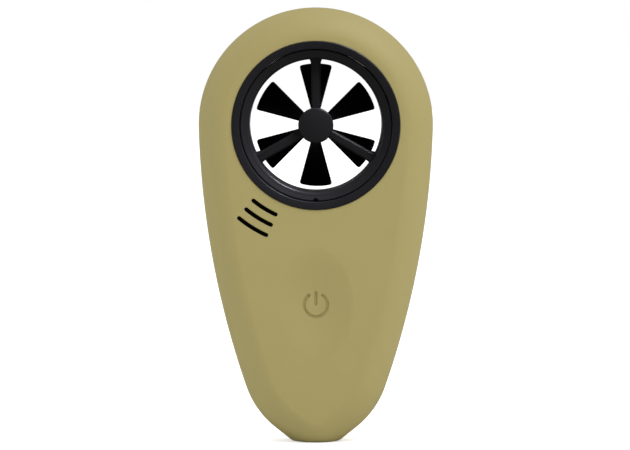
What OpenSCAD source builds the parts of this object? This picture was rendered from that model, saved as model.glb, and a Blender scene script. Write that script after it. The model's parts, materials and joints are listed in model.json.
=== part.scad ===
// Handheld weather meter: a pocket wind, temperature, humidity and pressure sensor.
// Every piece is drawn face up, with X to the right, Y up the body from the foot and Z
// towards the face; stand() then turns it upright, so the face looks along -Y.

/* [Case] */
// Width across the round head
case_w = 58; // [56:0.5:70]
// Height of the impeller's axis above the foot
axis_h = 78.4; // [70:0.2:96]
// Thickness over the flat front and back
case_t = 18; // [17:0.5:22]
// Wall of both shells
wall = 1.8; // [1.5:0.1:2.2]
// Width of the rolled edge between the parting line and the flat face
roll_w = 7; // [6.5:0.5:8.5]
// Fullness of the rolled edge, where 1 is a chamfer and 2 a quarter ellipse
roll_power = 1.7; // [1.4:0.1:2.2]
// Radius of the long flank
flank_r = 214; // [180:2:320]
// Radius of the corner between a flank and the foot's chamfer
corner_r = 22; // [16:1:26]
// Width of the flat foot
foot_w = 11.7; // [11.4:0.1:14]
// Lean of the foot's chamfers from the long axis, in degrees
foot_lean = 51.5; // [46:0.5:56]
// Height of the straight chamfer above the foot
chamfer_h = 3.4; // [2.4:0.2:5]
// Radius of the tip that the foot cuts off
tip_r = 9; // [9:0.1:10]

/* [Impeller] */
// Radius of the duct's throat
throat_r = 16.3; // [14:0.1:17]
// Gap between the blades and the throat
tip_gap = 1.1; // [0.6:0.1:1.8]
// Number of blades
blades = 6; // [4:1:8]
// Angle that one blade covers, in degrees
blade_sweep = 31; // [20:1:34]
// Depth of the blades along the axis
blade_depth = 6; // [4:0.2:7]
// Thickness of a blade along the axis
blade_t = 0.6; // [0.4:0.1:0.9]
// Radius of the impeller's hub
hub_r = 3.2; // [2.8:0.1:4]
// Radius of the shaft
shaft_r = 0.5; // [0.4:0.05:0.8]
// Running clearance of the shaft in its jewels
shaft_fit = 0.02; // [0.01:0.01:0.05]
// Radius of the cap over the front bearing
cap_r = 4.35; // [4:0.05:5]
// Width of a spoke at the boss
spoke_root_w = 2; // [1.6:0.1:2.6]
// Width of a spoke at the duct
spoke_tip_w = 2.5; // [1.8:0.1:3.2]

/* [Duct and bezels] */
// Wall of the duct between its collars
duct_wall = 1.4; // [1.2:0.1:1.8]
// Height of the duct's collars above its wall
collar_h = 1; // [0.6:0.1:1.2]
// Wall of the sleeve that ties the bezels together
sleeve_wall = 1; // [0.9:0.05:1.4]
// Reach of the bezels over the edge of their hole
bezel_lap = 0.85; // [0.6:0.05:0.95]
// Height of the front bezel above the face
bezel_rise = 0.3; // [0.2:0.1:1.4]
// Radius of the duct's rounded mouth
mouth_r = 1; // [0.6:0.1:1.2]

/* [Button and vents] */
// Width of the thumb button
button_w = 18.6; // [15:0.2:20]
// Height of the thumb button
button_h = 28.2; // [22:0.2:30]
// Height of the button's centre above the foot
button_y = 34.2; // [33:0.2:38]
// Depth of the button's dish
dish = 1.5; // [0.6:0.1:1.7]
// Travel of the button
travel = 0.5; // [0.2:0.05:0.6]
// Number of vent slots
vents = 3; // [1:1:3]
// Width of a vent slot
vent_w = 1.05; // [0.6:0.05:1.4]
// Distance of the first vent slot from the impeller's axis
vent_r = 24.37; // [23:0.1:26]
// Distance between vent slots
vent_pitch = 2.79; // [2.2:0.05:3]
// Angle of the vent slots from straight down, in degrees
vent_angle = 32; // [28:1:36]
// Angle that a vent slot covers, in degrees
vent_span = 15; // [8:1:16]

/* [Battery and tripod socket] */
// Diameter of the coin cell
cell_d = 20; // [16:1:20]
// Thickness of the coin cell
cell_t = 3.2; // [2:0.1:3.2]
// Radius of the battery door
door_r = 13.4; // [13.2:0.1:14]
// Turn of the battery door from locked to open, in degrees
door_turn = 60; // [45:1:60]
// Radius of the tripod socket's thread, at its crests
socket_r = 2.55; // [2.4:0.05:2.6]
// Depth of the tripod socket
socket_depth = 8; // [6:0.5:9]

/* [Screws] */
// Radius of a case screw
screw_r = 1; // [0.8:0.1:1.2]
// Radius of a case screw's head
screw_head_r = 1.9; // [1.6:0.1:2]
// Radius of a screw boss
boss_r = 2.9; // [2.6:0.1:3.1]
// Radius of a board screw
board_screw_r = 0.75; // [0.6:0.05:0.9]

/* [Hidden] */

$fn = 48;
khaki = [0.61, 0.57, 0.37];
black = [0.07, 0.07, 0.08];
brass = [0.72, 0.58, 0.3];
steel = [0.75, 0.75, 0.77];
board_green = [0.05, 0.3, 0.16];

fit = 0.05;        // clearance between pieces that are fixed together
slide_fit = 0.15;  // clearance round the button and the battery door
over = 1;          // how far a cutter runs past what it cuts
half_w = case_w / 2;
half_t = case_t / 2;
inner_t = half_t - wall;

// ---- Outline: head, flank, corner, chamfer and tip, each tangent to the next ----
chamfer_out = [cos(foot_lean), -sin(foot_lean)];
head_c = [0, axis_h];
corner_c = [foot_w / 2 + chamfer_h * tan(foot_lean), chamfer_h] - corner_r * chamfer_out;
tip_c = [0, (tip_r - foot_w / 2 * cos(foot_lean)) / sin(foot_lean)];
to_corner = corner_c - head_c;
down = to_corner / norm(to_corner);
head_reach = flank_r - half_w;
along = (pow(head_reach, 2) - pow(flank_r - corner_r, 2) + pow(norm(to_corner), 2))
        / (2 * norm(to_corner));
flank_c = head_c + along * down + sqrt(pow(head_reach, 2) - pow(along, 2)) * [down.y, -down.x];
head_end = atan2(head_c.y - flank_c.y, head_c.x - flank_c.x);
flank_end = atan2(corner_c.y - flank_c.y, corner_c.x - flank_c.x);

function arc(c, r, from, to, n, first = 1) =
    [for (i = [first:n]) let (a = from + (to - from) * i / n) c + r * [cos(a), sin(a)]];

function mirrored_back(side) =
    [for (i = [len(side) - 2:-1:0]) [-side[i].x, side[i].y]];

function right_edge(inset) = concat(
    arc(head_c, half_w - inset, 90, head_end, 24),
    arc(flank_c, flank_r - inset, head_end, flank_end, 8),
    arc(corner_c, corner_r - inset, flank_end, -foot_lean, 6),
    arc(tip_c, tip_r - inset, -foot_lean, -90, 8, 0));

function outline(inset) = concat(
    [head_c + [0, half_w - inset]], right_edge(inset), mirrored_back(right_edge(inset)));

// ---- Rolled edge: a superellipse from the parting line up to the flat face ----
roll_steps = 7;

function roll(step, inset) = let (t = 90 * step / roll_steps, e = 2 / roll_power)
    [inset + (roll_w - inset) * (1 - pow(cos(t), e)), (half_t - inset) * pow(sin(t), e)];

// One half of the case as a solid, from the parting plane to the face, and below it by skirt.
module pillow(inset = 0, skirt = 0) {
    levels = concat(skirt > 0 ? [[inset, -skirt]] : [],
                    [for (step = [0:roll_steps]) roll(step, inset)]);
    rings = [for (level = levels) [for (p = outline(level[0])) [p.x, p.y, level[1]]]];
    n = len(rings[0]);
    last = len(rings) - 1;
    polyhedron(
        points = [for (ring = rings) each ring],
        faces = concat(
            [[for (i = [n - 1:-1:0]) i], [for (i = [0:n - 1]) last * n + i]],
            [for (k = [0:last - 1]) for (i = [0:n - 1]) let (j = (i + 1) % n)
                [k * n + i, k * n + j, (k + 1) * n + j, (k + 1) * n + i]]));
}

// ---- Places shared by several pieces ----
sensor_p = head_c + (vent_r + vent_pitch) * [-sin(vent_angle), -cos(vent_angle)];
vent_seat = [11.4, 9.4];              // rib round the vents that the membrane is bonded to
vent_seat_z = 5.2;
membrane_t = 0.2;
sleeve_r = throat_r + duct_wall + collar_h + fit;     // inside of the sleeve
sleeve_out = sleeve_r + sleeve_wall;
thread_r = sleeve_r + sleeve_wall / 2;                // where the rear bezel screws on
hole_r = sleeve_out + 0.1 + fit;
bezel_r = hole_r + bezel_lap;
bezel_recess = wall / 2;                              // both bezels are let in by this
board_y = [19.5, axis_h - 15.4];
board_inset = 3.2;
board_t = 1;
board_arc = hole_r + 1.1;
cell_r = cell_d / 2;
foot_block = socket_depth + 3;
insert_r = 4;
insert_collar = 0.7;
door_y = button_y;
door_recess = door_r + slide_fit;
door_face_t = 1.5;
ledge_z = half_t - door_face_t - 0.1;
ledge_t = 1.2;
lug_t = 1;
door_barrel = 11.2;
lug_reach = 1.3;
lug_angle = 30;
well_r = door_recess + 0.9;
well_floor = ledge_z - ledge_t - lug_t - 0.6;
screw_ring = half_w - 4.6;
screw_spots = [for (s = [-1, 1]) each [
    head_c + screw_ring * [s * sin(40), cos(40)],
    [s * (half_w - 9.2), axis_h - 30.4],
    [s * 8.8, foot_block + 4.6]]];
board_spots = [for (s = [-1, 1]) each [[s * 12.8, board_y[0] + 3], [s * 14.6, board_y[0] + 20]]];
front_plane = 4.4;    // inner face of the front spokes
spoke_t = 1.6;
boss_out = 4;
pivot_r = 1.5;        // bore that holds a jewel in its boss
jewel_t = 1.2;
shaft_end = front_plane + 0.9;

module stand() rotate([90, 0, 0]) children();

module at(p, z = 0) translate([p.x, p.y, z]) children();

module on_axis() at(head_c) children();

// A turned piece about the impeller's axis, from points of [radius, height].
module turned(points) on_axis() rotate_extrude($fn = 96) polygon(points);

module ellipse_plate(w, h, low, high) {
    points = [for (a = [0:6:354]) [w / 2 * cos(a), button_y + h / 2 * sin(a)]];
    translate([0, 0, low]) linear_extrude(high - low) polygon(points);
}

// ---- Case ----
module foot_cut() translate([-half_w, -half_w, -case_t]) cube([case_w, half_w, 2 * case_t]);

module foot_fill() translate([-half_w, -half_w, -case_t])
    cube([case_w, half_w + foot_block, 2 * case_t]);

// The knurled insert's outline, turned about the long axis; grow adds clearance.
module insert_body(grow) rotate([-90, 0, 0]) {
    translate([0, 0, -grow]) cylinder(r = insert_r + grow, h = socket_depth + 2 * grow);
    translate([0, 0, socket_depth - 2 - grow])
        cylinder(r = insert_r + insert_collar + grow, h = 2 + 2 * grow);
}

module case_ring(outer, inner, low, high) translate([0, 0, low]) linear_extrude(high - low)
    difference() { polygon(outline(outer)); polygon(outline(inner)); }

// A block under the vents, turned in line with the slots.
module under_vents(size, low, high) at(sensor_p, low) rotate([0, 0, -vent_angle])
    translate([-size.x / 2, -size.y / 2, 0]) cube([size.x, size.y, high - low]);

module vent_slots(low, high) on_axis() for (i = [0:vents - 1]) {
    r = vent_r + i * vent_pitch;
    translate([0, 0, low]) {
        rotate([0, 0, -90 - vent_angle - vent_span / 2])
            rotate_extrude(angle = vent_span, $fn = 96)
                translate([r - vent_w / 2, 0]) square([vent_w, high - low]);
        for (s = [-1, 1]) rotate([0, 0, -90 - vent_angle + s * vent_span / 2])
            translate([r, 0, 0]) cylinder(d = vent_w, h = high - low, $fn = 24);
    }
}

seal_w = 0.7;
seal_in = 0.55;
seal_t = 0.8;

module seal_groove() case_ring(seal_in, seal_in + seal_w, -seal_t / 2, seal_t / 2);

module front_shell() color(khaki) stand() difference() {
    pillow();
    difference() {
        pillow(wall, over);
        for (p = screw_spots) at(p, -over) cylinder(r = boss_r, h = case_t);
        for (p = board_spots) at(p, -over) cylinder(r = board_screw_r + 1.1, h = case_t);
        difference() {
            under_vents(vent_seat, vent_seat_z, case_t);
            under_vents(vent_seat - [2.4, 2.4], 0, case_t);
        }
        foot_fill();
    }
    foot_cut();
    on_axis() translate([0, 0, -over]) cylinder(r = hole_r, h = case_t, $fn = 96);
    on_axis() translate([0, 0, bezel_seat])
        cylinder(r = bezel_r + 2 * fit, h = over + bezel_recess, $fn = 96);
    ellipse_plate(button_w, button_h, inner_t - over, half_t + over);
    vent_slots(inner_t - over, half_t + over);
    for (p = screw_spots) at(p, -over) cylinder(r = screw_r + fit / 2, h = over + 5);
    for (p = board_spots) at(p, -over) cylinder(r = board_screw_r + fit / 2, h = over + 4);
    insert_body(fit);
    seal_groove();
}

module rear_shell() color(khaki) stand() difference() {
    mirror([0, 0, 1]) pillow();
    difference() {
        mirror([0, 0, 1]) pillow(wall, over);
        for (p = screw_spots) at(p, -case_t) cylinder(r = boss_r, h = case_t + over);
        at([0, door_y], -case_t) cylinder(r = well_r, h = case_t - well_floor);
        foot_fill();
    }
    foot_cut();
    on_axis() translate([0, 0, -case_t]) cylinder(r = hole_r, h = 2 * case_t, $fn = 96);
    on_axis() translate([0, 0, -half_t - over])
        cylinder(r = bezel_r + 2 * fit, h = over + bezel_recess, $fn = 96);
    at([0, door_y]) {
        translate([0, 0, -half_t - over])
            cylinder(r = door_recess, h = over + half_t - ledge_z, $fn = 96);
        translate([0, 0, -case_t]) cylinder(r = door_barrel + slide_fit, h = case_t, $fn = 96);
        translate([0, 0, ledge_t - ledge_z])
            cylinder(r = door_barrel + lug_reach + 2 * slide_fit, h = case_t, $fn = 96);
        for (i = [0:2]) rotate([0, 0, 120 * i - door_turn])
            lug(lug_angle + 4, slide_fit, -half_t, case_t);
    }
    for (p = screw_spots) {
        at(p, -case_t) cylinder(r = screw_r + 0.2, h = case_t + over);
        at(p, -case_t) cylinder(r = screw_head_r + 0.3, h = case_t - screw_seat);
    }
    insert_body(fit);
    seal_groove();
}

module case_seal() color(black) stand() intersection() {
    case_ring(seal_in, seal_in + seal_w, -seal_t / 2, seal_t / 2);
    translate([-half_w, foot_seal_end, -case_t]) cube([case_w, 2 * axis_h, 2 * case_t]);
}
foot_seal_end = 0.6;

screw_seat = 5.2;     // depth of the screw heads' seats from the parting plane
screw_reach = 4.5;    // bite of a case screw in the front shell

module case_screws() color(steel) stand() for (p = screw_spots) {
    at(p, -screw_seat) cylinder(r = screw_r, h = screw_seat + screw_reach);
    at(p, -screw_seat - 1.3) difference() {
        cylinder(r = screw_head_r, h = 1.3);
        translate([0, 0, -over]) cylinder(r = 0.85, h = over + 0.7, $fn = 6);
    }
}

// ---- Bezels and duct ----
bezel_seat = half_t - bezel_recess;
thread_z = -inner_t + 1.7;         // shoulder where the rear bezel's thread begins
sleeve_end = -half_t + bezel_recess + fit;

module front_bezel() color(black) stand() turned(concat(
    [[sleeve_r, sleeve_end], [thread_r, sleeve_end], [thread_r, thread_z],
     [sleeve_out, thread_z], [sleeve_out, bezel_seat], [bezel_r, bezel_seat]],
    [for (a = [0:15:90]) [bezel_r - bezel_dome.x + bezel_dome.x * cos(a),
                          half_t + bezel_rise - bezel_dome.y + bezel_dome.y * sin(a)]],
    [[sleeve_r + 0.15, half_t + bezel_rise - 0.1], [sleeve_r, half_t + bezel_rise - 0.25]]));
bezel_dome = [1.2, min(0.65, bezel_rise - 0.05)];

module rear_bezel() color(black) stand() turned([
    [thread_r + fit / 2, sleeve_end], [sleeve_r, sleeve_end], [sleeve_r, 0.25 - half_t],
    [sleeve_r + 0.25, -half_t], [bezel_r - 0.25, -half_t], [bezel_r, 0.25 - half_t],
    [bezel_r, sleeve_end - fit], [sleeve_out + 0.1, sleeve_end - fit],
    [sleeve_out + 0.1, thread_z - fit], [thread_r + fit / 2, thread_z - fit]]);

collar_r = sleeve_r - fit;          // fit of the duct's collars in the sleeve
duct_out = throat_r + duct_wall;
duct_front = half_t + bezel_rise - 0.5;
duct_rear = 0.4 - half_t;
mouth_z = duct_front - 0.5 - mouth_r;
collar_front = 3.6;                 // length of the front collar
collar_rear = 2.2;
groove_z = duct_front - 2.2;        // middle of the seal's groove
seal_r = 0.34;
groove_r = sleeve_r - 2 * seal_r - 0.03;
spider_rim = 0.65;                  // rim of the rear spider, let into the duct
spider_z = -4.5;                    // inner face of the rear spokes
rim_end = -7.9;

module duct_shape() turned(concat(
    [[throat_r + spider_rim + fit, spider_z], [throat_r, spider_z]],
    arc([throat_r + mouth_r, mouth_z], mouth_r, 180, 90, 6, 0),
    [[collar_r - 0.2, duct_front], [collar_r, duct_front - 0.2],
     [collar_r, groove_z + seal_r + 0.1], [groove_r, groove_z + seal_r + 0.1],
     [groove_r, groove_z - seal_r - 0.1], [collar_r, groove_z - seal_r - 0.1],
     [collar_r, duct_front - collar_front], [duct_out, duct_front - collar_front - 0.6],
     [duct_out, duct_rear + collar_rear + 0.6], [collar_r, duct_rear + collar_rear],
     [collar_r, duct_rear + 0.2], [collar_r - 0.2, duct_rear],
     [throat_r + spider_rim + fit, duct_rear]]));

// Three spokes and their boss; the first spoke stands straight up.
module spider(low, reach) on_axis() for (i = [0:2]) rotate([0, 0, 120 * i])
    translate([0, 0, low]) linear_extrude(spoke_t) polygon([
        [-spoke_root_w / 2, 2.5], [spoke_root_w / 2, 2.5],
        [spoke_tip_w / 2, reach], [-spoke_tip_w / 2, reach]]);

cap_z = front_plane + spoke_t + 0.5;

module impeller_duct() color(black) stand() difference() {
    union() {
        duct_shape();
        spider(front_plane, throat_r + 0.4);
        on_axis() translate([0, 0, front_plane - 0.5])
            cylinder(r = boss_out, h = cap_z - front_plane + 0.5);
    }
    on_axis() translate([0, 0, front_plane - over]) cylinder(r = pivot_r, h = case_t);
    on_axis() translate([-0.8, -collar_r - over, duct_front - 0.7])
        cube([1.6, over + 0.55, over + 0.7]);
}

module duct_seal() color(black) stand() on_axis() translate([0, 0, groove_z])
    rotate_extrude($fn = 96) translate([sleeve_r - seal_r - 0.01, 0])
        circle(r = seal_r, $fn = 24);

module hub_cap() color(black) stand() on_axis() {
    translate([0, 0, cap_z]) rotate_extrude($fn = 64) polygon(concat(
        [[0, 0], [cap_r - 0.1, 0], [cap_r, 0.1], [cap_r, 0.7]],
        [for (i = [1:6]) let (r = (cap_r - 0.25) * (6 - i) / 5)
            if (r >= 0) [r, 1 + 0.25 * (1 - pow(r / cap_r, 2))]]));
    translate([0, 0, shaft_end + 0.1])
        cylinder(r = pivot_r - fit / 2, h = cap_z - shaft_end - 0.1, $fn = 32);
}

module jewel(low) on_axis() translate([0, 0, low]) difference() {
    cylinder(r = pivot_r - fit / 4, h = jewel_t);
    translate([0, 0, -over]) cylinder(r = shaft_r + shaft_fit, h = jewel_t + 2 * over);
}

module front_jewel() color([0.6, 0.1, 0.2]) stand() jewel(shaft_end - jewel_t);

rear_plane = spider_z - spoke_t;    // outer face of the rear spokes

module rear_spider() color(black) stand() difference() {
    union() {
        turned([[throat_r, spider_z - fit], [throat_r + spider_rim, spider_z - fit],
                [throat_r + spider_rim, rim_end], [throat_r, rim_end]]);
        spider(rear_plane, throat_r + 0.2);
        on_axis() translate([0, 0, rear_plane - 0.9])
            cylinder(r = boss_out, h = spoke_t + 1.4);
    }
    on_axis() translate([0, 0, -case_t]) cylinder(r = pivot_r, h = case_t);
}

module rear_jewel() color([0.6, 0.1, 0.2]) stand() jewel(-shaft_end);

module bearing_screw() color(brass) stand() on_axis()
    translate([0, 0, rear_plane - 0.8]) difference() {
        cylinder(r = pivot_r - fit / 4, h = -shaft_end - 0.1 - (rear_plane - 0.8));
        translate([-2, -0.2, -over]) cube([4, 0.4, over + 0.4]);
    }

// ---- Impeller ----
tip_r_blade = throat_r - tip_gap;
hub_half = 3.5;
magnet_r = 2.2;
magnet_t = 2;
blade_steps = 10;

// One blade: a helicoid whose height grows evenly with the angle, given a thickness.
module blade() {
    n = blade_steps + 1;
    rim = [for (side = [-1, 1]) for (r = [hub_r - 0.5, tip_r_blade]) for (i = [0:blade_steps])
        let (share = i / blade_steps - 0.5, a = 90 + blade_sweep * share)
        [r * cos(a), r * sin(a), (blade_depth - blade_t) * share + side * blade_t / 2]];
    function quad(a, b, c, d) = [[a, c, b], [a, d, c]];
    polyhedron(points = rim, faces = concat(
        [for (i = [0:blade_steps - 1]) each concat(
            quad(i, i + 1, n + i + 1, n + i),
            quad(2 * n + i, 3 * n + i, 3 * n + i + 1, 2 * n + i + 1),
            quad(i, 2 * n + i, 2 * n + i + 1, i + 1),
            quad(n + i, n + i + 1, 3 * n + i + 1, 3 * n + i))],
        quad(0, n, 3 * n, 2 * n),
        quad(blade_steps, 2 * n + blade_steps, 3 * n + blade_steps, n + blade_steps)));
}

module impeller_wheel() color(black) stand() on_axis() difference() {
    union() {
        translate([0, 0, -hub_half]) cylinder(r = hub_r, h = 2 * hub_half);
        for (i = [0:blades - 1]) rotate([0, 0, 360 / blades * i]) blade();
    }
    translate([0, 0, -case_t]) cylinder(r = shaft_r + fit / 4, h = 2 * case_t);
    translate([0, 0, -hub_half - over]) cylinder(r = magnet_r + fit / 4, h = magnet_t + over);
}

module impeller_shaft() color(steel) stand() on_axis()
    translate([0, 0, -shaft_end]) cylinder(r = shaft_r, h = 2 * shaft_end);

module impeller_magnet() color(steel) stand() on_axis()
    translate([0, 0, -hub_half]) difference() {
        cylinder(r = magnet_r, h = magnet_t - fit);
        translate([0, 0, -over]) cylinder(r = shaft_r + fit / 4, h = magnet_t + 2 * over);
    }

// ---- Button ----
flange_t = 1;
pad_low = inner_t - 0.1 - flange_t;
stem_top = 3.6;
dish_w = button_w + 0.2;
dish_r = (pow(dish_w / 2, 2) + pow(dish, 2)) / (2 * dish);
plunger_r = 3;

module thumb_button() color(khaki) stand() difference() {
    union() {
        ellipse_plate(button_w - 2 * slide_fit, button_h - 2 * slide_fit, pad_low, half_t);
        ellipse_plate(button_w + 1.8, button_h + 1.8, pad_low, pad_low + flange_t);
    }
    at([0, button_y], half_t - dish) scale([1, button_h / button_w, 1])
        translate([0, 0, dish_r]) sphere(r = dish_r, $fn = 128);
}

module button_plunger() color(black) stand() at([0, button_y], stem_top)
    cylinder(r = plunger_r, h = pad_low - stem_top, $fn = 32);

stem_r = 1.4;
stem_low = 1.1;
switch_size = [5.2, 5.2, 1.5];

module switch_stem() color(black) stand() at([0, button_y], stem_low)
    cylinder(r = stem_r, h = stem_top - stem_low, $fn = 32);

module block(p, size, z = 0) at(p, z) translate([-size.x / 2, -size.y / 2, 0]) cube(size);

module switch_base() color(steel) stand() difference() {
    block([0, button_y], switch_size);
    at([0, button_y], stem_low - travel - 0.1)
        cylinder(r = stem_r + slide_fit, h = case_t, $fn = 32);
}

// ---- Circuit board and sensors ----
module main_board() color(board_green) stand() translate([0, 0, -board_t]) difference() {
    linear_extrude(board_t) intersection() {
        polygon(outline(board_inset));
        translate([-half_w, board_y[0]]) square([case_w, board_y[1] - board_y[0]]);
    }
    on_axis() translate([0, 0, -over]) cylinder(r = board_arc, h = board_t + 2 * over, $fn = 96);
    for (p = board_spots) at(p, -over) cylinder(r = board_screw_r + 0.1, h = board_t + 2 * over);
    for (p = screw_spots) at(p, -over) cylinder(r = boss_r + 0.3, h = board_t + 2 * over);
}

module board_screws() color(steel) stand() for (p = board_spots) {
    at(p, -board_t) cylinder(r = board_screw_r, h = board_t + 3.5);
    at(p, -board_t - 0.9) cylinder(r = board_screw_r * 1.9, h = 0.9);
}

module radio_module() color(steel) stand() block([3.5, 50.5], [11, 8, 1.8]);

module wind_sensor() color(black) stand() block([0, axis_h - board_arc - 1.4], [2.9, 1.3, 1.1]);

module climate_sensor() color(black) stand() block(sensor_p, [2.5, 2.5, 0.9]);

module pressure_sensor() color(steel) stand() block([-5.5, 50.5], [2, 2.5, 0.8]);

module board_passives() color([0.5, 0.4, 0.3]) stand()
    for (i = [0:3]) {
        block([6 + 2 * i, 44], [1, 1.8, 0.6]);
        block([-12 + 2 * i, 27 - 2 * i], [1, 1.8, 0.6]);
    }

module vent_membrane() color(black) stand()
    under_vents(vent_seat, vent_seat_z - fit - membrane_t, vent_seat_z - fit);

module sensor_gasket() color(black) stand() difference() {
    under_vents(vent_seat, fit, vent_seat_z - 2 * fit - membrane_t);
    under_vents(vent_seat - [2.4, 2.4], -over, case_t);
}

// ---- Battery ----
contact_t = 0.25;
cell_z = -board_t - contact_t - fit;      // front face of the cell
holder_t = 1;

module battery_cell() color(steel) stand() at([0, door_y], cell_z - cell_t) {
    cylinder(r = cell_r, h = cell_t - 0.4, $fn = 96);
    cylinder(r = cell_r - 1.1, h = cell_t, $fn = 96);
}

module battery_holder() color(black) stand() at([0, door_y], -board_t - holder_h) difference() {
    cylinder(r = cell_r + 0.1 + holder_t, h = holder_h, $fn = 96);
    translate([0, 0, -over]) cylinder(r = cell_r + 0.1, h = holder_h + 2 * over, $fn = 96);
    translate([-2.5, cell_r - over, -over]) cube([5, 4, holder_h + 2 * over]);
}
holder_h = cell_t + contact_t - 0.2;

module battery_contact_neg() color(brass) stand() at([0, door_y], -board_t - contact_t)
    difference() {
        cylinder(r = 6, h = contact_t, $fn = 64);
        translate([0, 0, -over]) cylinder(r = 2.5, h = contact_t + 2 * over, $fn = 48);
    }

module battery_contact_pos() color(brass) stand() at([0, door_y]) {
    translate([-2, cell_r + 0.1, -board_t - contact_t]) cube([4, 3.4, contact_t]);
    translate([-2, cell_r + 0.1, -board_t - 2.6]) cube([4, 0.3, 2.6]);
}

// One locking lug, centred on +X; grow adds clearance on its outer side.
module lug(angle, grow, low, height) rotate([0, 0, -angle / 2]) translate([0, 0, low])
    rotate_extrude(angle = angle, $fn = 96) translate([door_barrel - 0.4, 0])
        square([lug_reach + grow + 0.4, height]);

pad_r = 8;
door_inner = 0.6;       // extra thickness of the door inside its barrel
door_back = -half_t + door_face_t + door_inner;
barrel_end = -(ledge_z - ledge_t) + 0.1 + lug_t;

module battery_door() color(khaki) stand() at([0, door_y]) difference() {
    union() {
        translate([0, 0, -half_t]) cylinder(r = door_r, h = door_face_t, $fn = 96);
        translate([0, 0, -half_t]) cylinder(r = door_barrel, h = barrel_end + half_t, $fn = 96);
        for (i = [0:2]) rotate([0, 0, 120 * i]) lug(lug_angle, 0, barrel_end - lug_t, lug_t);
    }
    translate([0, 0, door_back]) cylinder(r = door_barrel - 1.4, h = case_t, $fn = 96);
    translate([0, 0, -half_t + door_face_t / 2]) rotate_extrude($fn = 96)
        translate([door_r - 0.65, -0.4]) square([over, 0.8]);
    translate([-6, -1, -half_t - over]) cube([12, 2, over + 1.1]);
    for (s = [-1, 1]) translate([6 * s, 0, -half_t - over]) cylinder(r = 1, h = over + 1.1);
}

module door_seal() color(black) stand() at([0, door_y], -half_t + door_face_t / 2)
    rotate_extrude($fn = 96) translate([door_recess - 0.39, 0]) circle(r = 0.36, $fn = 24);

module battery_pad() color(black) stand() at([0, door_y], door_back)
    cylinder(r = pad_r, h = cell_z - cell_t - fit - door_back, $fn = 64);

// ---- Tripod socket ----
module tripod_insert() color(brass) stand() difference() {
    insert_body(0);
    rotate([-90, 0, 0]) translate([0, 0, -over])
        cylinder(r = socket_r, h = socket_depth - 1 + over, $fn = 64);
}

front_shell();
rear_shell();
case_seal();
case_screws();
front_bezel();
rear_bezel();
impeller_duct();
duct_seal();
hub_cap();
front_jewel();
rear_spider();
rear_jewel();
bearing_screw();
impeller_wheel();
impeller_shaft();
impeller_magnet();
thumb_button();
button_plunger();
switch_stem();
switch_base();
main_board();
board_screws();
board_passives();
radio_module();
wind_sensor();
climate_sensor();
pressure_sensor();
vent_membrane();
sensor_gasket();
battery_cell();
battery_holder();
battery_contact_neg();
battery_contact_pos();
battery_door();
door_seal();
battery_pad();
tripod_insert();
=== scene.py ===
"""Looks of a handheld weather meter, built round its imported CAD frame.

The case halves, bezels, duct, impeller, thumb pad, battery door, screws and tripod insert are new
surfaces worked out with numpy. The pieces inside keep their CAD meshes and get finishes of their own.
Lengths are in millimetres in the face frame: X to the right, Y up the body from the foot and Z out of
the face. place() turns them into the row frame, in metres. A cutter runs OVERRUN past what it cuts.
"""

from __future__ import annotations

import json
import logging
import math
from dataclasses import dataclass, field
from enum import Enum

import bmesh
import bpy
import numpy as np
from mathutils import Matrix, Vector
from mathutils.geometry import delaunay_2d_cdt

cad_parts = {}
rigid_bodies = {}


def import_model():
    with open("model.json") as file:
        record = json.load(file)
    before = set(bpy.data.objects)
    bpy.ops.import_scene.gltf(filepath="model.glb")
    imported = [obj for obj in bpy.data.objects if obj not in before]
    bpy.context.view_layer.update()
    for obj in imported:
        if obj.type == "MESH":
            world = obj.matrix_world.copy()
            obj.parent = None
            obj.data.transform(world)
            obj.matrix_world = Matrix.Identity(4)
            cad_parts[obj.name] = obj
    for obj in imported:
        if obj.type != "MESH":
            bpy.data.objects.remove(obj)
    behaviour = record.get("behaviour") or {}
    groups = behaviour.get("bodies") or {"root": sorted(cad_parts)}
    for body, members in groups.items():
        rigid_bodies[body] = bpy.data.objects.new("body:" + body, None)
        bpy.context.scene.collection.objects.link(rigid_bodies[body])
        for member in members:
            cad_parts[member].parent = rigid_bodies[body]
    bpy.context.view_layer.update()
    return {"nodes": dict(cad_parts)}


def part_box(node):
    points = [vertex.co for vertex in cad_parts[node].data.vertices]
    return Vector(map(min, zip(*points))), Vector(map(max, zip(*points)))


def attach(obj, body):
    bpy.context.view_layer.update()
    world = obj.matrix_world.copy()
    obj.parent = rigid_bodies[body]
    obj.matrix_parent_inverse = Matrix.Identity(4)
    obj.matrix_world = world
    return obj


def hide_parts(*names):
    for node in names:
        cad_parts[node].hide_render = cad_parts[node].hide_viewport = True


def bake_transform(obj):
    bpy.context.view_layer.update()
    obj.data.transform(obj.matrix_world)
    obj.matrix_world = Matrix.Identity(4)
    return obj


MM = 0.001  # metres
WELD = 2e-6  # metres between points that become one
SHARP_ANGLE = math.radians(32)
OVERRUN = 1.0
CLOUD_SHARE = 0.6  # of a finish's tint, that comes from its clouds and not from its relief
LOG = logging.getLogger("weather_meter")


class Side(Enum):
    """Half of the case: the sign of Z that it lies on."""

    FRONT = 1
    REAR = -1


class Pattern(Enum):
    """Relief that a finish carries."""

    GRAIN = "grain"
    TURNED = "turned"
    WEAVE = "weave"
    TRACES = "traces"


# ---- Points and profiles -------------------------------------------------------------------------


def place(points: np.ndarray) -> np.ndarray:
    """Turns face-frame points into the row frame: (x, y, z) in mm becomes (x, -z, y) in metres.

    Args:
        points: array whose last axis is x, y, z.

    Returns:
        Array of the same shape, in metres.
    """
    return np.stack([points[..., 0], -points[..., 2], points[..., 1]], axis=-1) * MM


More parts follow.
